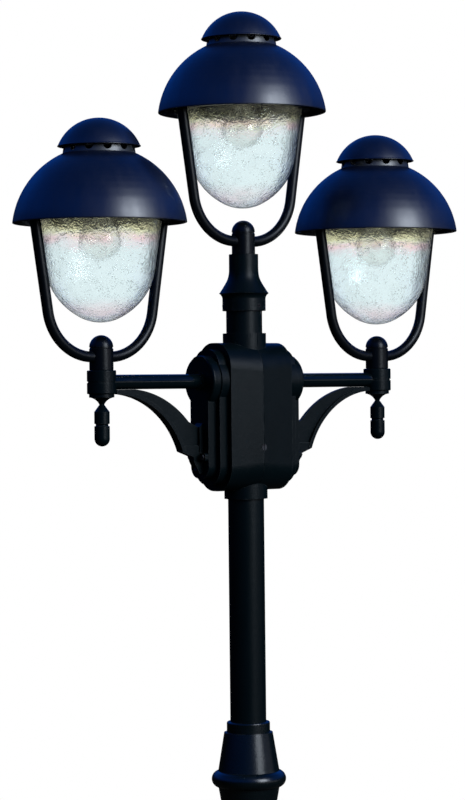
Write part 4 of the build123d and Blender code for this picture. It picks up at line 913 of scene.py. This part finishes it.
class LampStage(bpy.types.Operator):
    """Lay the floor, set the key light and the surroundings, and place the camera"""

    bl_idname = "lamp_post.stage"
    bl_label = "Studio"

    def execute(self, context):
        scene, studio = context.scene, context.scene.lamp_studio
        for build in (self.floor, self.surroundings, self.key_light, self.camera):
            build(scene, studio)
        scene.view_settings.view_transform = "Standard"
        return {"FINISHED"}

    def floor(self, scene, studio):
        """Flat disc under the foot. To the camera and through glass it is pale with the post's shadow
        near the foot, and plain white farther off. Everything else sees it dark."""
        angle = np.linspace(0, FULL_TURN, 96, endpoint=False)
        edge = studio.floor_radius * np.stack((np.cos(angle), np.sin(angle), np.zeros(len(angle))), axis=1)
        mesh = bpy.data.meshes.new("floor")
        mesh.from_pydata(edge.tolist(), [], [list(range(len(angle)))])
        floor = bpy.data.objects.new("floor", mesh)
        scene.collection.objects.link(floor)
        material = bpy.data.materials.new("floor")
        material.use_nodes = True
        tree = material.node_tree
        path = tree.nodes.new("ShaderNodeLightPath").outputs
        seen = sums(tree, "MAXIMUM", path["Is Camera Ray"], path["Is Transmission Ray"])
        place = tree.nodes.new("ShaderNodeTexCoord").outputs["Object"]
        away = shader_node(tree, "ShaderNodeVectorMath", {"operation": "LENGTH"}, Vector=place)
        far = remap(tree, away.outputs["Value"], studio.floor_near, studio.floor_far)
        lit = tint(tree, far, tuple(studio.floor_pale), (0.0, 0.0, 0.0))
        body = tint(tree, seen, (0.05, 0.05, 0.05), lit)
        glow = sums(tree, "MULTIPLY", seen, remap(tree, far, 0.0, 1.0, studio.floor_glow, 1.0))
        give(
            tree, tree.nodes["Principled BSDF"], Base_Color=body, Roughness=0.9, Specular_IOR_Level=0.0,
            Emission_Color=(1.0, 1.0, 1.0), Emission_Strength=glow
        )
        mesh.materials.append(material)

    def surroundings(self, scene, studio):
        """White for what the camera sees, straight or through glass, and a soft even fill for matt
        surfaces. Gloss sees a dark ground, a blue sky that deepens from the horizon to the zenith, and
        at the horizon a pale line, only toward the right of the view, which is (0.6, -0.8) in x and y.
        rise is the sine of the angle above the horizon."""
        world = bpy.data.worlds.new("surroundings")
        scene.world = world
        world.use_nodes = True
        tree = world.node_tree
        path = tree.nodes.new("ShaderNodeLightPath").outputs
        unmirrored = sums(tree, "LESS_THAN", path["Glossy Depth"], 0.5)
        through = sums(tree, "MULTIPLY", path["Is Transmission Ray"], unmirrored)
        seen = sums(tree, "MAXIMUM", path["Is Camera Ray"], through)
        direction = tree.nodes.new("ShaderNodeTexCoord").outputs["Generated"]
        x, y, rise = shader_node(tree, "ShaderNodeSeparateXYZ", Vector=direction).outputs
        above = sums(tree, "MULTIPLY", remap(tree, rise, 0.08, 0.42), studio.sky)
        sky = tint(tree, remap(tree, rise, 0.35, 0.95), tuple(studio.sky_low), tuple(studio.sky_high))
        mirrored = tint(tree, above, tuple(studio.ground), sky)
        rightward = sums(tree, "SUBTRACT", sums(tree, "MULTIPLY", x, 0.6), sums(tree, "MULTIPLY", y, 0.8))
        level = remap(tree, sums(tree, "ABSOLUTE", rise), 0.02, 0.08, 1.0, 0.0)
        line = sums(tree, "MULTIPLY", level, remap(tree, rightward, 0.80, 0.97))
        mirrored = tint(tree, line, mirrored, (studio.horizon, studio.horizon, 1.1 * studio.horizon))
        lit = tint(tree, path["Is Glossy Ray"], (studio.fill,) * 3, mirrored)
        give(tree, tree.nodes["Background"], Color=tint(tree, seen, lit, (1.0, 1.0, 1.0)), Strength=1.0)

    def key_light(self, scene, studio):
        """Soft rectangular light that the camera doesn't see."""
        data = bpy.data.lights.new("key_light", "AREA")
        data.shape = "RECTANGLE"
        data.size, data.size_y = studio.key_width, studio.key_rise
        data.energy = studio.key
        data.color = studio.key_tone
        lamp = bpy.data.objects.new("key_light", data)
        lamp.location = studio.key_place
        lamp.rotation_euler = (studio.key_place - studio.key_aim).to_track_quat("Z", "Y").to_euler()
        lamp.visible_camera = False
        scene.collection.objects.link(lamp)

    def camera(self, scene, studio):
        """Camera on a level circle round the post, aimed beside the axis and rolled about its line of
        sight."""
        data = bpy.data.cameras.new("camera")
        data.sensor_fit = "VERTICAL"
        data.sensor_height = SENSOR_HEIGHT
        data.lens = studio.lens
        camera = bpy.data.objects.new("camera", data)
        scene.collection.objects.link(camera)
        back = Vector((sin(studio.turn), -cos(studio.turn), 0))
        right = Vector((cos(studio.turn), sin(studio.turn), 0))
        aim = right * studio.aim_side + Vector((0, 0, studio.aim_height))
        place = right * studio.aim_side + back * studio.distance + Vector((0, 0, studio.height))
        facing = (place - aim).to_track_quat("Z", "Y").to_matrix().to_4x4()
        camera.matrix_world = Matrix.Translation(place) @ facing @ Matrix.Rotation(-studio.roll, 4, "Z")
        data.clip_end = 100
        scene.camera = camera


class LampPanel(bpy.types.Panel):
    """Sizes, colours and pieces of the lamp post"""

    bl_label = "Lamp Post"
    bl_idname = "LAMP_POST_PT_panel"
    bl_space_type = "VIEW_3D"
    bl_region_type = "UI"
    bl_category = "Lamp Post"

    def draw(self, context):
        for group, _ in GROUPS:
            box = self.layout.box()
            settings = getattr(context.scene, group)
            for name in settings.__annotations__:
                box.prop(settings, name)
        for operator in PIECES:
            self.layout.operator(operator.bl_idname)


GROUPS = (
    ("lamp_sheet", LampSheetSizes),
    ("lamp_glass", LampGlassSizes),
    ("lamp_bulb", LampBulbSizes),
    ("lamp_colours", LampColours),
    ("lamp_studio", LampStudio),
)
PIECES = (LampFinishes, LampShades, LampCaps, LampBells, LampBulbs, LampStage)


def register():
    for name, group in GROUPS:
        bpy.utils.register_class(group)
        setattr(bpy.types.Scene, name, bpy.props.PointerProperty(type=group))
    for kind in (*PIECES, LampPanel):
        bpy.utils.register_class(kind)


def unregister():
    for kind in (LampPanel, *reversed(PIECES)):
        bpy.utils.unregister_class(kind)
    for name, group in reversed(GROUPS):
        delattr(bpy.types.Scene, name)
        bpy.utils.unregister_class(group)


def main():
    """Build every piece in order."""
    register()
    for operator in PIECES:
        getattr(bpy.ops.lamp_post, operator.bl_idname.split(".")[1])()


if __name__ == "__main__":
    main()
